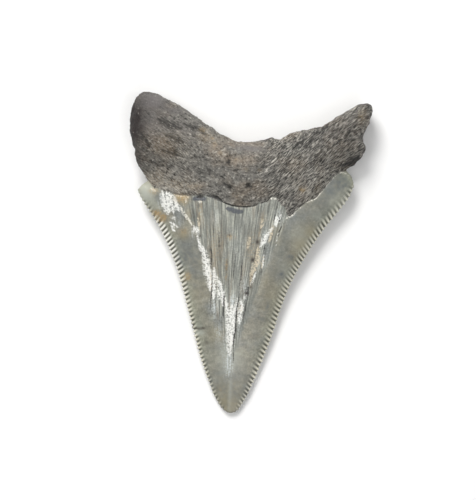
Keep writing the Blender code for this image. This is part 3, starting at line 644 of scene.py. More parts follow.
def resting_drop(x, y):
    """How far the resting face lies below the outline's height. It is cut off flat at the plane."""
    left = x_on(LEFT_BLADE, y)
    right = x_on(RIGHT_BLADE, y)
    across = np.clip((2 * x - left - right) / (right - left + LEAST_RISE), -1, 1)
    crown = np.interp(y, *LABIAL_DROP.T) * (1 - across**2) ** LABIAL_FULLNESS
    hollow = LABIAL_HOLLOW * mound(x, y, LABIAL_HOLLOW_CENTRE, LABIAL_HOLLOW_SPREAD)
    full = ROOT_RIM_HEIGHT + LABIAL_MARGIN
    root = full * rounded(nearest(ROOT_RIM, x, y)[0], LABIAL_ROUNDING) - hollow
    above_line = y - y_on(LABIAL_CROWN_LINE, x)
    groove = LABIAL_GROOVE_DEPTH * np.exp(-((above_line / LABIAL_GROOVE_SPREAD) ** 2))
    drop = crown + (root - crown) * root_share(x, above_line) - groove
    return np.clip(drop, 0, rim_height(x, y))


# ------------------------ grid

def root_row_shares():
    """Where the root's rows start on its sides. They crowd towards the rim and the crown."""
    t = np.linspace(0, 1, ROOT_ROWS + 1)
    return t - ROOT_ROW_CROWDING * np.sin(2 * np.pi * t) / (2 * np.pi)


def outline_side(root_side, shoulder, cutting_edge):
    """One side of the outline, a point for each row."""
    shoulder_shares = np.linspace(0, 1, SHOULDER_ROWS + 1)[1:]
    edge_shares = np.linspace(0, 1, EDGE_ROWS + 1)[1:]
    return np.vstack([along(root_side, root_row_shares()), along(shoulder, shoulder_shares),
                      along(cutting_edge, edge_shares)])


def inward(points, sign):
    """Unit directions into the tooth, square to one side of its outline."""
    run = np.gradient(points, axis=0)
    square = np.column_stack([-run[:, 1], run[:, 0]]) * sign
    return square / np.linalg.norm(square, axis=1)[:, None]


def blade_weights():
    """How far each row's bands are square to the outline: fully on the blade, not on the root or tip."""
    rows = np.arange(LAST_ROW + 1)
    return smooth_step((rows - BLADE_ROW) / TURNING_ROWS) * smooth_step((LAST_ROW - rows) / TIP_ROWS)


def grid_points():
    """Where the rows and columns cross, from above: a Coons patch of the root, then one of the crown."""
    left = outline_side(LEFT_ROOT_SIDE, LEFT_SHOULDER, LEFT_CUTTING_EDGE)
    right = outline_side(RIGHT_ROOT_SIDE, RIGHT_SHOULDER, RIGHT_CUTTING_EDGE)
    from_left = inward(left, 1)
    from_right = inward(right, -1)
    weights = blade_weights()
    heights = (left[:, 1] + right[:, 1]) / 2
    to_tip = (heights[SEAM_ROW] - heights) / (heights[SEAM_ROW] - heights[-1])
    t = np.linspace(0, 1, MIDDLE_COLUMNS + 1)[1:-1, None]
    rows = []
    for row in range(LAST_ROW + 1):
        width = np.linalg.norm(right[row] - left[row])
        widest = np.interp(row, (LAST_ROW - 2 * TIP_ROWS, LAST_ROW), (BLADE_BAND, TIP_BAND))
        band = min(widest, WIDEST_BAND * width) * BAND_STEPS
        middle = np.linspace(band[-1], width - band[-1], MIDDLE_COLUMNS + 1)[1:-1]
        u = np.concatenate([band, middle, width - band[::-1]]) / width
        if row <= SEAM_ROW:
            down = root_row_shares()[row]
            points = (1 - down) * along(ROOT_NOTCH, u) + down * along(SEAM, u)
        else:
            down = to_tip[row]
            points = (1 - down) * along(SEAM, u) + down * along(TIP, u)
        ends = np.outer(1 - u, left[row] - points[0]) + np.outer(u, right[row] - points[-1])
        points = points + ends
        square_left = left[row] + np.outer(band, from_left[row])
        square_right = right[row] + np.outer(band[::-1], from_right[row])
        shift_left = weights[row] * (square_left - points[:BAND_COLUMNS + 1])
        shift_right = weights[row] * (square_right - points[-BAND_COLUMNS - 1:])
        between = (1 - t) * shift_left[-1] + t * shift_right[0]
        rows.append(points + np.vstack([shift_left, between, shift_right]))
    return np.array(rows)


def tiles(band_width, root_width, crown_height, crown_width):
    """The tiles of one face, each as its first and last row and its first and last column."""
    for row in range(LAST_ROW):
        for column in range(0, BAND_COLUMNS, band_width):
            yield row, row + 1, column, column + band_width
            yield row, row + 1, LAST_COLUMN - column - band_width, LAST_COLUMN - column
    for first, last, height, width in ((0, SEAM_ROW, 1, root_width),
                                       (SEAM_ROW, LAST_ROW, crown_height, crown_width)):
        for row in range(first, last, height):
            for column in range(BAND_COLUMNS, LAST_COLUMN - BAND_COLUMNS, width):
                yield row, row + height, column, column + width


def corners(tile):
    """The grid points at a tile's corners."""
    top, bottom, left, right = tile
    return {(top, left), (top, right), (bottom, left), (bottom, right)}


def border(tile):
    """Grid points round a tile, anticlockwise from above."""
    top, bottom, left, right = tile
    down = [(row, left) for row in range(top, bottom)]
    rightward = [(bottom, column) for column in range(left, right)]
    up = [(row, right) for row in range(bottom, top, -1)]
    leftward = [(top, column) for column in range(right, left, -1)]
    return down + rightward + up + leftward


def on_outline(point):
    """Whether both faces share the grid point."""
    row, column = point
    return row in (0, LAST_ROW) or column in (0, LAST_COLUMN)


# ------------------------ blank

def linked(name, data):
    """A new object in the scene."""
    made = bpy.data.objects.new(name, data)
    bpy.context.collection.objects.link(made)
    return made


def sheets():
    """The grid from above, its rim height, and how far each face stands off that height."""
    grid = grid_points()
    x = grid[..., 0]
    y = grid[..., 1]
    inside = np.zeros(x.shape)
    inside[1:-1, 1:-1] = 1
    return grid, rim_height(x, y), inside * display_rise(x, y), -inside * resting_drop(x, y)


def blank_parts():
    """The blank's corner points as row, column and side, and its faces as rings of their numbers."""
    sides = {1: list(tiles(*DISPLAY_TILES)), -1: list(tiles(*RESTING_TILES))}
    kept = {side: set().union(*map(corners, placed)) for side, placed in sides.items()}
    shared = {point for points in kept.values() for point in points if on_outline(point)}
    numbers = {}
    faces = []
    for side, placed in sides.items():
        wanted = kept[side] | shared
        for tile in placed:
            ring = []
            for point in border(tile):
                if point in wanted:
                    key = (*point, 0 if point in shared else side)
                    ring.append(numbers.setdefault(key, len(numbers)))
            faces.append(ring[::side])
    return np.array(list(numbers)), faces


def closeness(lines, x, y, taper=LINE_TAPER):
    """How far each place is from the nearest line, in half widths of that line. Lines taper off."""
    least = np.full(x.shape, np.inf)
    for half_width, *points in lines:
        line = mm(*points)
        gap, at = nearest(line, x, y)
        share = np.clip(at / lengths(smooth_curve(line, per_span=8))[-1], LINE_END, 1 - LINE_END)
        least = np.minimum(least, gap / (half_width * MM * np.sin(np.pi * share) ** taper))
    return least


def spots(places, x, y):
    """Strength of the strongest spot at each place."""
    most = np.zeros(x.shape)
    for *sizes, strength in places:
        centre_x, centre_y, across, up = np.array(sizes) * MM
        most = np.maximum(most, strength * mound(x, y, (centre_x, centre_y), (across, up)))
    return most


def fibre_run(x, y):
    """How far along and across the bony fibres each place is."""
    stations = np.linspace(-FIBRE_SPAN, FIBRE_SPAN, FIBRE_STATIONS)
    slopes = looked_up(FIBRE_SLOPES, stations)
    stretch = np.sqrt(1 + slopes**2)
    step = stations[1] - stations[0]
    climb, length = (np.append(0, np.cumsum((values[1:] + values[:-1]) / 2 * step))
                     for values in (slopes, stretch))
    return np.interp(x, stations, length), y - np.interp(x, stations, climb)


def edge_marks(x, y):
    """Marks of the serrated edge, from the run along it and the distance to it."""
    edge = smooth_curve(BLADE_EDGE, per_span=8)
    run = lengths(edge)
    tangent = np.gradient(edge, run, axis=0)
    gap, at = nearest(BLADE_EDGE, x, y)
    stations = np.linspace(0, run[-1], EDGE_STATIONS)
    pitches = looked_up(SERRATION_PITCHES, stations) * MM
    counts = np.append(0, np.cumsum(np.diff(stations) / pitches[1:]))
    lean = np.clip((TIP_RUN - at / MM) / LEAN_TURN, -1, 1) * gap * (FLUTE_LEAN + FLUTE_BEND * gap / MM)
    zero = np.zeros(x.shape)
    return {
        "comb": np.stack([np.interp(at, stations, counts), gap / COMB_LENGTH, zero], axis=-1),
        "flute_gap": gap / looked_up(SERRATION_LENGTHS, at),
        "gleam": looked_up(SERRATION_GLINTS, at),
        "thin": np.clip(1 - gap / THIN_BLADE, 0, 1) * smooth_step((y - THIN_START) / THIN_RUN),
        "tooth_run": np.interp(at + lean, stations, counts),
        "tooth_share": looked_up(SERRATION_DEPTHS, at),
        "inward": np.stack([np.interp(at, run, -tangent[:, 1]), np.interp(at, run, tangent[:, 0]), zero],
                           axis=-1),
    }


def vertex_marks(x, y, side, rise, height):
    """What the Geometry Nodes and the material read at each vertex."""
    _, crease_left, crease_right, _ = creases(y)
    above_gum = y - y_on(GUM_LINE, x)
    along_fibres, across_fibres = fibre_run(x, y)
    back = side < 0
    # Paler places, among them painted light along the crown line and a painted highlight above the tip.
    pale = np.where(above_gum > 0, spots(PALE_BONE_AND_PAINTED_LIGHT, x, y), spots(PALE_ENAMEL_AND_RIDGE_HIGHLIGHT, x, y))
    marks = {
        "gum": np.where(back, y - y_on(LABIAL_CROWN_LINE, x), above_gum),
        "field": np.where(back, OFF_FIELD, np.minimum(x - crease_left, crease_right - x)),
        "fan": np.stack([(x - FAN_APEX[0]) / (y - FAN_APEX[1]) * FAN_REACH, y, side * MM], axis=-1),
        "grain": np.stack([along_fibres, across_fibres, height], axis=-1),
        "rise": rise,
        "bare": looked_up(FIBRE_BARENESS, x),
        "plate": np.where(back, FAR, closeness(PLATES, x, y, PLATE_TAPER)),
        "pale": np.where(back, 0, pale),
    }
    for name, lines in DISPLAY_LINES.items():
        marks[name] = np.where(back, FAR, closeness(lines, x, y))
    for name, places in DISPLAY_SPOTS.items():
        marks[name] = np.where(back, 0, spots(places, x, y))
    for name, places in SHARED_SPOTS.items():
        marks[name] = spots(places, x, y)
    return {**marks, **edge_marks(x, y)}


def build_blank():
    """Mesh of the tooth before Geometry Nodes, with its marks as attributes."""
    grid, rim, up, down = sheets()
    places, faces = blank_parts()
    row, column, side = places.T
    x = grid[row, column, 0]
    y = grid[row, column, 1]
    rise = np.where(side > 0, up[row, column], np.where(side < 0, down[row, column], 0))
    points = np.stack([x, y, rim[row, column] + rise], axis=-1)
    marks = vertex_marks(x, y, side, rise, points[:, 2])
    centre = (points.min(axis=0) + points.max(axis=0)) / 2
    middle = (LOW + HIGH) / 2
    points += (middle.x - centre[0], middle.y - centre[1], LOW.z)
    mesh = bpy.data.meshes.new("tooth_blank")
    mesh.from_pydata(points, [], faces)
    for name, values in marks.items():
        kind, field = ("FLOAT_VECTOR", "vector") if name in VECTOR_MARKS else ("FLOAT", "value")
        attribute = mesh.attributes.new(name, kind, "POINT")
        attribute.data.foreach_set(field, np.asarray(values, np.float32).ravel())
    mesh.shade_smooth()
    return linked("tooth_surface", mesh)


# ------------------------ nodes

# Kinds of node that many places use: a type with its settings.
ADD, SUBTRACT, MULTIPLY, DIVIDE, POWER, FRACT, FLOOR, COSINE = (
    ("ShaderNodeMath", {"operation": name})
    for name in ("ADD", "SUBTRACT", "MULTIPLY", "DIVIDE", "POWER", "FRACT", "FLOOR", "COSINE")
)
VECTOR_ADD, VECTOR_MULTIPLY, VECTOR_DIVIDE, VECTOR_SCALE, VECTOR_MAXIMUM = (
    ("ShaderNodeVectorMath", {"operation": name})
    for name in ("ADD", "MULTIPLY", "DIVIDE", "SCALE", "MAXIMUM")
)
RANGE = ("ShaderNodeMapRange", {})
SMOOTH_RANGE = ("ShaderNodeMapRange", {"interpolation_type": "SMOOTHSTEP"})
MIX = ("ShaderNodeMix", {})
MIX_COLOURS = ("ShaderNodeMix", {"data_type": "RGBA"})
MULTIPLY_COLOURS = ("ShaderNodeMix", {"data_type": "RGBA", "blend_type": "MULTIPLY"})
NOISE = ("ShaderNodeTexNoise", {})
COMBINE = ("ShaderNodeCombineXYZ", {})
# Outputs of the texture coordinate node and of the attribute node.
OBJECT_PLACE = 3
ATTRIBUTE_VECTOR = 1
ATTRIBUTE_NUMBER = 2
PER_MM = 1 / MM
# Most of a noise's values lie between these.
NOISE_SPAN = (0.3, 0.7)
# Where the root is granular and where its fibres are bare, on the "bare" mark.
BARE_SPAN = (0.3, 0.9)


def add(tree, kind, *values, out=0, **settings):
    """Add a node with its settings, give its inputs their values or links, and return an output.

    The kind is the node's type, or a type with settings that many nodes share.
    """
    if isinstance(kind, tuple):
        kind, shared = kind
        settings = {**shared, **settings}
    node = tree.nodes.new(kind)
    for name, value in settings.items():
        setattr(node, name, value)
    inputs = [socket for socket in node.inputs if socket.enabled]
    for socket, value in zip(inputs, values):
        if isinstance(value, bpy.types.NodeSocket):
            tree.links.new(value, socket)
        elif value is not None:
            socket.default_value = value
    outputs = [socket for socket in node.outputs if socket.enabled]
    return outputs[out] if outputs else None


# ------------------------ relief

RELIEF_SIZES = {
    "Serration depth": SERRATION_DEPTH,
    "Flute share": FLUTE_SHARE,
    "Flute reach": FLUTE_REACH,
    "Fibre height": 0.2 * MM,
    "Fibre length": 1.2 * MM,
    "Fibre width": 0.3 * MM,
    "Grain height": 0.3 * MM,
    "Grain size": 0.5 * MM,
    "Lump height": 0.5 * MM,
    "Lump size": 1.8 * MM,
    "Streak height": 0.16 * MM,
    "Streak length": 9 * MM,
    "Streak width": 0.7 * MM,
    "Crack depth": 0.15 * MM,
    "Seed": 7.0,
}
RELIEF_MARKS = ("gum", "field", "fan", "grain", "flute_gap", "tooth_run", "tooth_share", "inward", "rise",
                "crack", "bare", "smooth")


def relief_tree():
    """Geometry Nodes that cut the serrations and raise the fibres, grains, lumps, streaks and cracks."""
    tree = bpy.data.node_groups.new("tooth_relief", "GeometryNodeTree")
    tree.interface.new_socket("Geometry", in_out="INPUT", socket_type="NodeSocketGeometry")
    for name, value in RELIEF_SIZES.items():
        socket = tree.interface.new_socket(name, in_out="INPUT", socket_type="NodeSocketFloat")
        socket.default_value = value
    tree.interface.new_socket("Material", in_out="INPUT", socket_type="NodeSocketMaterial")
    tree.interface.new_socket("Geometry", in_out="OUTPUT", socket_type="NodeSocketGeometry")
    given = {socket.name: socket for socket in tree.nodes.new("NodeGroupInput").outputs}
    marks = {}
    for name in RELIEF_MARKS:
        kind = "FLOAT_VECTOR" if name in VECTOR_MARKS else "FLOAT"
        marks[name] = add(tree, "GeometryNodeInputNamedAttribute", name, data_type=kind)

    # Serration notches: one for each whole pitch along the edge, each worn a little differently.
    within = add(tree, FRACT, marks["tooth_run"])
    number = add(tree, FLOOR, marks["tooth_run"])
    seeded = add(tree, ADD, number, given["Seed"])
    luck = add(tree, "ShaderNodeTexWhiteNoise", seeded, noise_dimensions="1D")
    wear = add(tree, RANGE, luck, 0.0, 1.0, *SERRATION_WEAR)
    turn = add(tree, MULTIPLY, within, math.tau)
    wave = add(tree, COSINE, turn)
    dip = add(tree, RANGE, wave, 1.0, -1.0, 0.0, 1.0)
    shaped = add(tree, POWER, dip, NOTCH_SHARPNESS)
    worn = add(tree, MULTIPLY, shaped, wear)
    notch = add(tree, MULTIPLY, worn, marks["tooth_share"], use_clamp=True)
    reach = add(tree, DIVIDE, marks["flute_gap"], given["Flute reach"], use_clamp=True)
    nearness = add(tree, SUBTRACT, 1.0, reach)
    steep = add(tree, POWER, nearness, CUT_STEEPNESS)
    cut = add(tree, MULTIPLY, notch, steep)
    cut_depth = add(tree, MULTIPLY, cut, given["Serration depth"])
    cut_in = add(tree, VECTOR_SCALE, marks["inward"], cut_depth)
    sink = notch
    for factor in (nearness, given["Flute share"], marks["rise"], -1.0):
        sink = add(tree, MULTIPLY, sink, factor)
    flute_drop = add(tree, COMBINE, 0.0, 0.0, sink)

    # Noise of each size and place, up to half its height up or down.
    place = add(tree, "GeometryNodeInputPosition")
    fibre_size = add(tree, COMBINE, given["Fibre length"], given["Fibre width"], MM)
    streak_size = add(tree, COMBINE, given["Streak width"], given["Streak length"], MM)
    heights = {}
    for name, at, size, detail, roughness in (("Fibre", marks["grain"], fibre_size, 2.0, 0.6),
                                              ("Grain", place, given["Grain size"], 2.0, 0.6),
                                              ("Lump", place, given["Lump size"], 1.0, 0.5),
                                              ("Streak", marks["fan"], streak_size, 2.0, 0.6)):
        sized = add(tree, VECTOR_DIVIDE, at, size)
        values = add(tree, NOISE, sized, given["Seed"], 1.0, detail, roughness, noise_dimensions="4D")
        wave = add(tree, RANGE, values, 0.25, 0.75, -0.5, 0.5)
        heights[name] = add(tree, MULTIPLY, wave, given[name + " height"])

    # Bony fibres where they are bare, grains and lumps, all softer where the root is worn smooth.
    fibres = add(tree, MULTIPLY, heights["Fibre"], marks["bare"])
    grain_share = add(tree, RANGE, marks["bare"], *BARE_SPAN, 1.0, 0.45)
    grains = add(tree, MULTIPLY, heights["Grain"], grain_share)
    fine_bone = add(tree, ADD, fibres, grains)
    whole_bone = add(tree, ADD, fine_bone, heights["Lump"])
    in_bone = add(tree, SMOOTH_RANGE, marks["gum"], -0.1 * MM, 0.5 * MM, 0.0, 1.0)
    rough = add(tree, RANGE, marks["smooth"], 0.0, 1.0, 1.0, 0.3)
    rough_bone = add(tree, MULTIPLY, in_bone, rough)
    bone_relief = add(tree, MULTIPLY, whole_bone, rough_bone)

    # Long streaks of the worn field, and its cracks.
    in_field = add(tree, SMOOTH_RANGE, marks["field"], -0.3 * MM, 1.2 * MM, 0.0, 1.0)
    off_bone = add(tree, SUBTRACT, 1.0, in_bone)
    crown_field = add(tree, MULTIPLY, in_field, off_bone)
    field_relief = add(tree, MULTIPLY, heights["Streak"], crown_field)
    crack_share = add(tree, SMOOTH_RANGE, marks["crack"], 0.3, 1.6, 1.0, 0.0)
    crack_relief = add(tree, MULTIPLY, crack_share, given["Crack depth"])
    relief = add(tree, ADD, bone_relief, field_relief)
    height = add(tree, SUBTRACT, relief, crack_relief)
    normal = add(tree, "GeometryNodeInputNormal")
    raise_by = add(tree, VECTOR_SCALE, normal, height)

    # Nothing goes below the plane that the tooth rests on.
    serrated = add(tree, VECTOR_ADD, cut_in, flute_drop)
    shift = add(tree, VECTOR_ADD, serrated, raise_by)
    marked = add(tree, "GeometryNodeStoreNamedAttribute", given["Geometry"], None, "notch", notch,
                 data_type="FLOAT", domain="POINT")
    moved_place = add(tree, VECTOR_ADD, place, shift)
    plane = add(tree, COMBINE, -1.0, -1.0, LOW.z)
    rested = add(tree, VECTOR_MAXIMUM, moved_place, plane)
    moved = add(tree, "GeometryNodeSetPosition", marked, None, rested)
    real = add(tree, "GeometryNodeRealizeInstances", moved)
    finished = add(tree, "GeometryNodeSetMaterial", real, None, given["Material"])
    add(tree, "NodeGroupOutput", finished)
    return tree


def relieved(blank, material):
    """The blank's plain mesh object after Geometry Nodes."""
    tree = relief_tree()
    modifier = blank.modifiers.new("relief", "NODES")
    modifier.node_group = tree
    identifiers = {item.name: item.identifier for item in tree.interface.items_tree if item.in_out == "INPUT"}
    for name, value in {**RELIEF_SIZES, "Material": material}.items():
        modifier[identifiers[name]] = value
    evaluated = blank.evaluated_get(bpy.context.evaluated_depsgraph_get())
    mesh = bpy.data.meshes.new_from_object(evaluated)
    blank.modifiers.clear()
    blank.data = mesh
    mesh.name = "tooth_surface"
    return blank


# ------------------------ colours

def linear(hex_colour):
    """An sRGB hex colour as linear red, green, blue and alpha."""
    shares = [int(hex_colour[start:start + 2], 16) / 255 for start in (1, 3, 5)]
    return (*(s / 12.92 if s <= 0.04045 else ((s + 0.055) / 1.055) ** 2.4 for s in shares), 1.0)


BONE_PIT = linear("#2b2925")
BONE_BODY = linear("#75726b")
BONE_RIDGE = linear("#bcb7ac")
BONE_SMOOTH = linear("#706b69")
BONE_TAN = linear("#87755f")
BONE_PALE = linear("#a39e93")
BONE_SPARK = linear("#d6d4cc")
# Painted shade on the root multiplies what it lies on by this.
BONE_SHADE_TINT = linear("#49332d")
ENAMEL_DEEP = linear("#72746c")
ENAMEL_BODY = linear("#949080")
ENAMEL_BLUE = linear("#757a7a")
ENAMEL_RIM = linear("#a1a38f")
ENAMEL_PALE = linear("#b1b3a7")
ENAMEL_OLIVE = linear("#958966")
# Painted highlight on the serrations' crests, a painted white glint on the brightest of them, and painted
# shade in the notches.
CREST_HIGHLIGHT = linear("#d2cdb8")
CREST_GLINT_WHITE = linear("#f1efe4")
NOTCH_SHADE = linear("#474638")
FIELD_DARK = linear("#565750")
FIELD_BODY = linear("#81837b")
FIELD_PALE = linear("#babaac")
FIELD_TAN = linear("#94836b")
# Painted glare, painted glare specks and pale rims with painted highlights, all on the crown.
GLARE_WHITE = linear("#f0efe8")
GLARE_SPECKLE_BLUE = linear("#d3d8d5")
RIM_CREAM_HIGHLIGHT = linear("#e6e2d4")
RIBBON_TAN = linear("#d6c8ad")
RUST = linear("#a48c64")
MOTTLE_BLUE = linear("#5d6365")
SPECK_BROWN = linear("#3b332b")
PLATE_SLATE = linear("#44484f")
CRACK_DARK = linear("#2b2926")
FLOOR_WHITE = linear("#f1f0ee")
SKY_WHITE = linear("#f2f5fa")


# ------------------------ materials

# The bare fibres, grains and pits of the root scatter light: no gloss. Dense enameloid still gleams.
BONE_ROUGHNESS = 0.8
ENAMEL_ROUGHNESS = 0.38
FIELD_ROUGHNESS = 0.5
POLISH_ROUGHNESS = 0.25
TOOTH_IOR = 1.6
OLIVE_STRENGTH = 0.7
# Fibres of the worn field: width and length in millimetres, and strength.
FIELD_FIBRES = ((0.24, 3.0, 0.42), (0.4, 9.0, 0.5), (0.8, 14.0, 0.3), (2.0, 16.0, 0.2))


def stretched_noise(tree, place, sizes, detail, roughness):
    """Noise whose lumps have these sizes along the place's three axes, in millimetres."""
    scaled = add(tree, VECTOR_MULTIPLY, place, tuple(PER_MM / size for size in sizes))
    return add(tree, NOISE, scaled, 1.0, detail, roughness)


def painted(tree, colour, *layers):
    """The colour with others laid over it in turn, each with its share."""
    for share, paint in layers:
        colour = add(tree, MIX_COLOURS, share, colour, paint)
    return colour


def bone_finish(tree, place, marks):
    """Phosphatised dentine of the root, weathered to bare fibres: dull, dark between pale strokes."""
    # Dentine fibres are about 0.1 mm thick, too fine to show: they are drawn 0.22 mm thick.
    strokes = stretched_noise(tree, marks["grain"], (0.95, 0.22, 0.6), 2.0, 0.6)
    furrows = stretched_noise(tree, marks["grain"], (4.0, 0.6, 1.2), 2.0, 0.5)
    grains = add(tree, NOISE, place, PER_MM / 0.42, 2.0, 0.6)
    lumps = add(tree, NOISE, place, PER_MM / 1.2, 3.0, 0.65)
    granular = add(tree, RANGE, marks["bare"], *BARE_SPAN, 0.5, 0.15)
    lumpy = add(tree, RANGE, marks["bare"], *BARE_SPAN, 1.0, 0.45)
    # The tone is their sum: each noise's span, its darkest and palest value, and where it shows.
    parts = []
    for values, span, darkest, palest, share in ((strokes, (0.36, 0.64), -1.05, 1.2, marks["bare"]),
                                                 (grains, NOISE_SPAN, -1.0, 1.0, granular),
                                                 (lumps, NOISE_SPAN, -0.34, 0.34, lumpy),
                                                 (furrows, NOISE_SPAN, -0.24, 0.24, marks["bare"])):
        wave = add(tree, RANGE, values, *span, darkest, palest)
        parts.append(add(tree, MULTIPLY, wave, share))
    texture = add(tree, ADD, parts[0], parts[1])
    broad = add(tree, ADD, parts[2], parts[3])
    whole_tone = add(tree, ADD, texture, broad)
    worn = add(tree, RANGE, marks["smooth"], 0.0, 1.0, 1.0, 0.25)
    tone = add(tree, MULTIPLY, whole_tone, worn)
    dark = add(tree, RANGE, tone, 0.0, -0.7, 0.0, 1.0)
    pale = add(tree, RANGE, tone, 0.2, 1.0, 0.0, 1.0)
    blotches = add(tree, NOISE, place, PER_MM / 6.0, 3.0, 0.55)
    tan_share = add(tree, RANGE, blotches, 0.46, 0.66, 0.0, 0.5)
    pale_share = add(tree, MULTIPLY, marks["pale"], 0.6)
    # Folds and holes stay dark, and painted shade darkens the root's sides and lobes.
    stroke_edge = add(tree, RANGE, strokes, *NOISE_SPAN, -0.9, 0.9)
    lump_edge = add(tree, RANGE, lumps, *NOISE_SPAN, -0.5, 0.5)
    fold_edge = add(tree, ADD, stroke_edge, lump_edge)
    fold_gap = add(tree, ADD, marks["fold"], fold_edge)
    fold_share = add(tree, SMOOTH_RANGE, fold_gap, -0.4, 2.5, 0.95, 0.0)
    folded = painted(tree, BONE_BODY, (tan_share, BONE_TAN), (pale_share, BONE_PALE),
                     (marks["smooth"], BONE_SMOOTH), (dark, BONE_PIT), (pale, BONE_RIDGE),
                     (fold_share, BONE_PIT))
    painted_shade_wave = add(tree, RANGE, lumps, *NOISE_SPAN, 0.7, 1.25)
    painted_shade_share = add(tree, MULTIPLY, marks["grime"], painted_shade_wave, use_clamp=True)
    shaded_bone = add(tree, MULTIPLY_COLOURS, painted_shade_share, folded, BONE_SHADE_TINT)
    sparks = add(tree, NOISE, place, PER_MM / 0.42, 1.0, 0.5)
    spark_share = add(tree, RANGE, sparks, 0.74, 0.8, 0.0, 0.7)
    colour = painted(tree, shaded_bone, (spark_share, BONE_SPARK))
    height = add(tree, MULTIPLY, texture, 0.12 * MM)
    return colour, BONE_ROUGHNESS, height


def enamel_finish(tree, place, marks):
    """Enameloid of the flanks: dense and glassy, clouded grey-green, paler where the blade is thin."""
    clouds = add(tree, NOISE, place, PER_MM / 6.0, 3.0, 0.55)
    cloud_share = add(tree, RANGE, clouds, *NOISE_SPAN, 0.0, 1.0)
    # The blue clouds are read elsewhere in the noise, so they don't follow the others.
    elsewhere = add(tree, VECTOR_ADD, place, (1.7, 0.4, 0.0))
    blue_clouds = add(tree, NOISE, elsewhere, PER_MM / 4.0, 3.0, 0.6)
    blue_share = add(tree, RANGE, blue_clouds, 0.48, 0.68, 0.0, 0.55)
    thin_share = add(tree, MULTIPLY, marks["thin"], 0.7)
    body = painted(tree, ENAMEL_DEEP, (cloud_share, ENAMEL_BODY), (blue_share, ENAMEL_BLUE),
                   (thin_share, ENAMEL_RIM))
    # Mottles, faint streaks from the serrations and specks, each round a tone of 1.
    mottles = add(tree, NOISE, place, PER_MM / 1.0, 4.0, 0.7)
    combs = add(tree, NOISE, marks["comb"], 1.1, 3.0, 0.6)
    specks = add(tree, NOISE, place, PER_MM / 0.4, 2.0, 0.6)
    tone = 1.0
    for values, darkest, palest in ((mottles, 0.75, 1.24), (combs, 0.84, 1.16), (specks, 0.81, 1.19)):
        part = add(tree, RANGE, values, *NOISE_SPAN, darkest, palest)
        tone = add(tree, MULTIPLY, tone, part)
    shade = add(tree, "ShaderNodeCombineColor", tone, tone, tone)
    mottled = add(tree, MULTIPLY_COLOURS, 1.0, body, shade)
    olive_share = add(tree, MULTIPLY, marks["olive"], OLIVE_STRENGTH)
    colour = painted(tree, mottled, (olive_share, ENAMEL_OLIVE))
    # The serrations' bare crests are painted cream as a highlight, with a painted white glint on the
    # brightest, and painted shade darkens the notches between them. Each reaches in from the edge: from
    # and to in millimetres and strength, where dull and where glinting.
    crest = add(tree, SUBTRACT, marks["tooth_share"], marks["notch"], use_clamp=True)
    crest_highlight_colour = painted(tree, CREST_HIGHLIGHT, (marks["gleam"], CREST_GLINT_WHITE))
    for share, dull, gleaming, span, most, paint in (
        (crest, (0.5, 2.1, 1.0), (1.2, 2.1, 1.1), (0.38, 0.95), 0.95, crest_highlight_colour),
        (marks["notch"], (0.5, 1.7, 1.0), (1.3, 1.9, 1.0), (0.15, 0.75), 0.92, NOTCH_SHADE),
    ):
        reaches = [add(tree, RANGE, marks["flute_gap"], start * MM, end * MM, strength, 0.0)
                   for start, end, strength in (dull, gleaming)]
        reach = add(tree, MIX, marks["gleam"], *reaches)
        reached = add(tree, MULTIPLY, share, reach)
        part = add(tree, RANGE, reached, *span, 0.0, most)
        colour = painted(tree, colour, (part, paint))
    height = add(tree, MULTIPLY, mottles, 0.02 * MM)
    return colour, ENAMEL_ROUGHNESS, height


def field_finish(tree, place, marks):
    """Osteodentine laid bare where enameloid wore through: long grey and tan fibres, satin."""
    tones = []
    for width, length, strength in FIELD_FIBRES:
        streaks = stretched_noise(tree, marks["fan"], (width, length, 1.0), 2.0, 0.6)
        tones.append(add(tree, RANGE, streaks, 0.32, 0.68, -strength, strength))
    grains = add(tree, NOISE, place, PER_MM / 0.34, 2.0, 0.6)
    grain_tone = add(tree, RANGE, grains, *NOISE_SPAN, -0.2, 0.2)
    fine_tone = add(tree, ADD, tones[0], tones[1])
    rough_tone = add(tree, ADD, fine_tone, grain_tone)
    broad_tone = add(tree, ADD, tones[2], tones[3])
    tone = add(tree, ADD, rough_tone, broad_tone)
    dark = add(tree, RANGE, tone, -0.05, -0.8, 0.0, 1.0)
    pale = add(tree, RANGE, tone, 0.05, 0.9, 0.0, 1.0)
    tans = stretched_noise(tree, marks["fan"], (1.3, 9.0, 3.0), 3.0, 0.6)
    tan_share = add(tree, RANGE, tans, 0.54, 0.7, 0.0, 0.5)
    olive_share = add(tree, MULTIPLY, marks["olive"], OLIVE_STRENGTH)
    colour = painted(tree, FIELD_BODY, (tan_share, FIELD_TAN), (dark, FIELD_DARK), (pale, FIELD_PALE),
                     (olive_share, ENAMEL_OLIVE))
    height = add(tree, MULTIPLY, rough_tone, 0.05 * MM)
    return colour, FIELD_ROUGHNESS, height, tone


def broken_line(tree, mark, wobble, span, most, reach, kind=RANGE):
    """Share of a line that breaks up towards its sides, and ends within its reach in half widths."""
    gap = add(tree, ADD, mark, wobble)
    share = add(tree, kind, gap, *span, most, 0.0)
    near = add(tree, RANGE, mark, *reach, 1.0, 0.0)
    return add(tree, MULTIPLY, share, near)


# Marks that the material reads.
MATERIAL_MARKS = ("gum", "field", "flute_gap", "tooth_share", "notch", "gleam", "thin", "bare", "smooth",
                  "fold", "grime", "crack", "polish", "frost", "pale_rim", "rust", "olive", "mottle",
                  "speck", "plate", "pale", "ribbon", "fan", "grain", "comb")


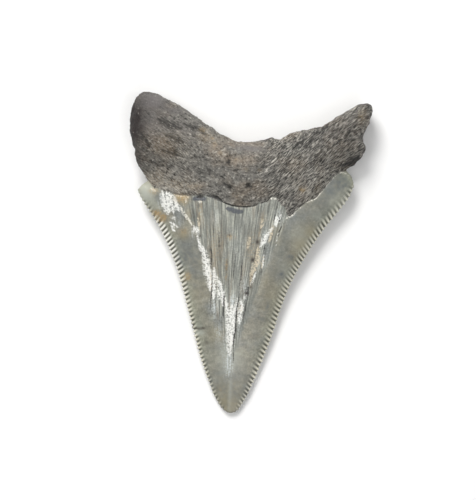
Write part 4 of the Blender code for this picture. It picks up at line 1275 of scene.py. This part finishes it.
def tooth_material():
    """Fossil tooth: three finishes, each kept to its own region, with stains, wear, painted glare and painted
    shade over them.
    """
    material = bpy.data.materials.new("fossil_enameloid_and_dentine")
    material.use_nodes = True
    tree = material.node_tree
    tree.nodes.clear()
    place = add(tree, "ShaderNodeTexCoord", out=OBJECT_PLACE)
    marks = {}
    for name in MATERIAL_MARKS:
        out = ATTRIBUTE_VECTOR if name in VECTOR_MARKS else ATTRIBUTE_NUMBER
        marks[name] = add(tree, "ShaderNodeAttribute", attribute_name=name, out=out)
    bone_colour, bone_roughness, bone_height = bone_finish(tree, place, marks)
    enamel_colour, enamel_roughness, enamel_height = enamel_finish(tree, place, marks)
    field_colour, field_roughness, field_height, field_tone = field_finish(tree, place, marks)

    # Where the field and the bone are, with ragged borders.
    ragged = add(tree, NOISE, place, PER_MM / 0.8, 3.0, 0.7)
    border_wobble = add(tree, RANGE, ragged, 0.25, 0.75, -0.45 * MM, 0.45 * MM)
    field_gap = add(tree, ADD, marks["field"], border_wobble)
    in_field = add(tree, SMOOTH_RANGE, field_gap, -0.1 * MM, 0.5 * MM, 0.0, 1.0)
    gum_gap = add(tree, ADD, marks["gum"], border_wobble)
    in_bone = add(tree, RANGE, gum_gap, -0.05 * MM, 0.15 * MM, 0.0, 1.0)

    # Painted glare specks, ribbons, painted glare streaks and pale rims with painted highlights, which
    # dissolve into specks and streaks along their sides.
    specks = add(tree, NOISE, place, PER_MM / 0.36, 2.0, 0.65)
    speck = add(tree, RANGE, specks, 0.36, 0.56, 0.0, 1.0)
    # Painted glare specks follow the field's streaks.
    glare_speck_streak = add(tree, RANGE, field_tone, -0.4, 0.5, 0.2, 1.3)
    glare_speck_share = add(tree, MULTIPLY, glare_speck_streak, speck)
    frost = add(tree, MULTIPLY, marks["frost"], glare_speck_share, use_clamp=True)
    streak_gap = add(tree, RANGE, field_tone, -0.8, 0.8, 0.5, -0.5)
    crumb_gap = add(tree, RANGE, specks, *NOISE_SPAN, -1.7, 1.7)
    loose_gap = add(tree, ADD, crumb_gap, streak_gap)
    speck_gap = add(tree, RANGE, specks, 0.34, 0.66, 1.25, -1.25)
    broken_gap = add(tree, ADD, speck_gap, streak_gap)
    ribbon = broken_line(tree, marks["ribbon"], loose_gap, (0.1, 1.5), 0.85, (1.2, 2.2))
    polish = broken_line(tree, marks["polish"], broken_gap, (0.0, 1.7), 1.0, (1.0, 2.2))
    rim = broken_line(tree, marks["pale_rim"], broken_gap, (0.3, 1.6), 0.9, (1.2, 2.0), SMOOTH_RANGE)

    # Stains, plates and cracks, over the bone too.
    rust_hold = add(tree, RANGE, in_bone, 0.0, 1.0, 1.0, 0.7)
    rust_speck = add(tree, MULTIPLY, marks["rust"], speck, use_clamp=True)
    rust = add(tree, MULTIPLY, rust_speck, rust_hold)
    mottle_speck = add(tree, RANGE, ragged, 0.35, 0.65, 0.2, 1.25)
    mottle = add(tree, MULTIPLY, marks["mottle"], mottle_speck, use_clamp=True)
    chipped_gap = add(tree, RANGE, ragged, *NOISE_SPAN, -0.35, 0.35)
    plate_gap = add(tree, ADD, marks["plate"], chipped_gap)
    plate = add(tree, RANGE, plate_gap, 0.7, 1.1, 0.85, 0.0)
    crack_wobble = add(tree, RANGE, specks, *NOISE_SPAN, -0.5, 0.5)
    crack_gap = add(tree, ADD, marks["crack"], crack_wobble)
    crack = add(tree, SMOOTH_RANGE, crack_gap, 0.4, 1.7, 0.95, 0.0)
    colour = painted(tree, enamel_colour, (in_field, field_colour), (marks["pale"], ENAMEL_PALE),
                     (frost, GLARE_SPECKLE_BLUE), (ribbon, RIBBON_TAN), (polish, GLARE_WHITE), (rim, RIM_CREAM_HIGHLIGHT),
                     (in_bone, bone_colour), (rust, RUST), (mottle, MOTTLE_BLUE), (plate, PLATE_SLATE),
                     (marks["speck"], SPECK_BROWN), (crack, CRACK_DARK))

    crown_roughness = add(tree, MIX, in_field, enamel_roughness, field_roughness)
    polished_roughness = add(tree, MIX, polish, crown_roughness, POLISH_ROUGHNESS)
    roughness = add(tree, MIX, in_bone, polished_roughness, bone_roughness)
    crown_height = add(tree, MIX, in_field, enamel_height, field_height)
    height = add(tree, MIX, in_bone, crown_height, bone_height)
    bump = add(tree, "ShaderNodeBump", 1.0, 1.0, None, height)

    surface = tree.nodes.new("ShaderNodeBsdfPrincipled")
    surface.inputs["Metallic"].default_value = 0.0
    surface.inputs["IOR"].default_value = TOOTH_IOR
    tree.links.new(colour, surface.inputs["Base Color"])
    tree.links.new(roughness, surface.inputs["Roughness"])
    tree.links.new(bump, surface.inputs["Normal"])
    add(tree, "ShaderNodeOutputMaterial", surface.outputs["BSDF"])
    return material


def floor_material():
    """Matt white painted board: even and soft."""
    material = bpy.data.materials.new("matt_white_board")
    material.use_nodes = True
    tree = material.node_tree
    surface = tree.nodes["Principled BSDF"]
    place = add(tree, "ShaderNodeTexCoord", out=OBJECT_PLACE)
    tooth = add(tree, NOISE, place, PER_MM / 1.5, 3.0, 0.6)
    height = add(tree, MULTIPLY, tooth, 0.02 * MM)
    bump = add(tree, "ShaderNodeBump", 1.0, 1.0, None, height)
    surface.inputs["Base Color"].default_value = FLOOR_WHITE
    surface.inputs["Roughness"].default_value = 0.8
    tree.links.new(bump, surface.inputs["Normal"])
    return material


# ------------------------ setting

FLOOR_SIZE = 4.0
VIEW_CENTRE = (-0.92 * MM, 0.95 * MM)
VIEW_HEIGHT = 104.7 * MM
VIEW_PLANE = 2.5 * MM
CAMERA_DISTANCE = 0.5
CAMERA_ROLL = math.radians(3.78)
CAMERA_CLIP = 0.01
SENSOR = 36.0
# Each light: name, width, length, direction it stands in, tilt from straight up, distance and power.
LIGHTS = (
    ("key", 0.4, 0.4, 115, 48, 0.9, 7.9),
    ("fill", 0.9, 0.9, -60, 40, 1.1, 3.2),
    ("left_strip", 0.10, 0.5, 170, 22, 0.8, 0.9),
    ("right_strip", 0.08, 0.5, 0, 22, 0.8, 0.6),
)
SKY_STRENGTH = 0.28


def build_floor():
    """A square sheet on the plane that the tooth rests on."""
    mesh = bpy.data.meshes.new("floor")
    half = FLOOR_SIZE / 2
    rim = [(-half, -half, LOW.z), (half, -half, LOW.z), (half, half, LOW.z), (-half, half, LOW.z)]
    mesh.from_pydata(rim, [], [(0, 1, 2, 3)])
    mesh.materials.append(floor_material())
    return linked("floor", mesh)


def build_camera():
    """Looking straight down, rolled to the tooth's lie."""
    data = bpy.data.cameras.new("camera")
    data.sensor_fit = "VERTICAL"
    data.sensor_height = SENSOR
    data.lens = SENSOR * CAMERA_DISTANCE / VIEW_HEIGHT
    data.clip_start = CAMERA_CLIP
    camera = linked("camera", data)
    camera.location = (*VIEW_CENTRE, LOW.z + VIEW_PLANE + CAMERA_DISTANCE)
    camera.rotation_euler = (0, 0, CAMERA_ROLL)
    bpy.context.scene.camera = camera


def build_lights():
    """Plain soft studio light: a large key, a fill, and two strips that catch the creases."""
    for name, width, length, heading, tilt, distance, power in LIGHTS:
        data = bpy.data.lights.new(name, "AREA")
        data.shape = "RECTANGLE"
        data.size = width
        data.size_y = length
        data.energy = power
        light = linked(name, data)
        heading = math.radians(heading)
        tilt = math.radians(tilt)
        level = math.sin(tilt)
        away = Vector((math.cos(heading) * level, math.sin(heading) * level, math.cos(tilt)))
        light.location = away * distance
        light.rotation_euler = away.to_track_quat("Z", "Y").to_euler()
    world = bpy.data.worlds.new("studio")
    world.use_nodes = True
    background = world.node_tree.nodes["Background"]
    background.inputs["Color"].default_value = SKY_WHITE
    background.inputs["Strength"].default_value = SKY_STRENGTH
    bpy.context.scene.world = world


# ------------------------ scene

tooth = relieved(build_blank(), tooth_material())
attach(tooth, "root")
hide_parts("tooth")

floor = build_floor()
build_camera()
build_lights()
bpy.context.scene.view_settings.view_transform = "Standard"
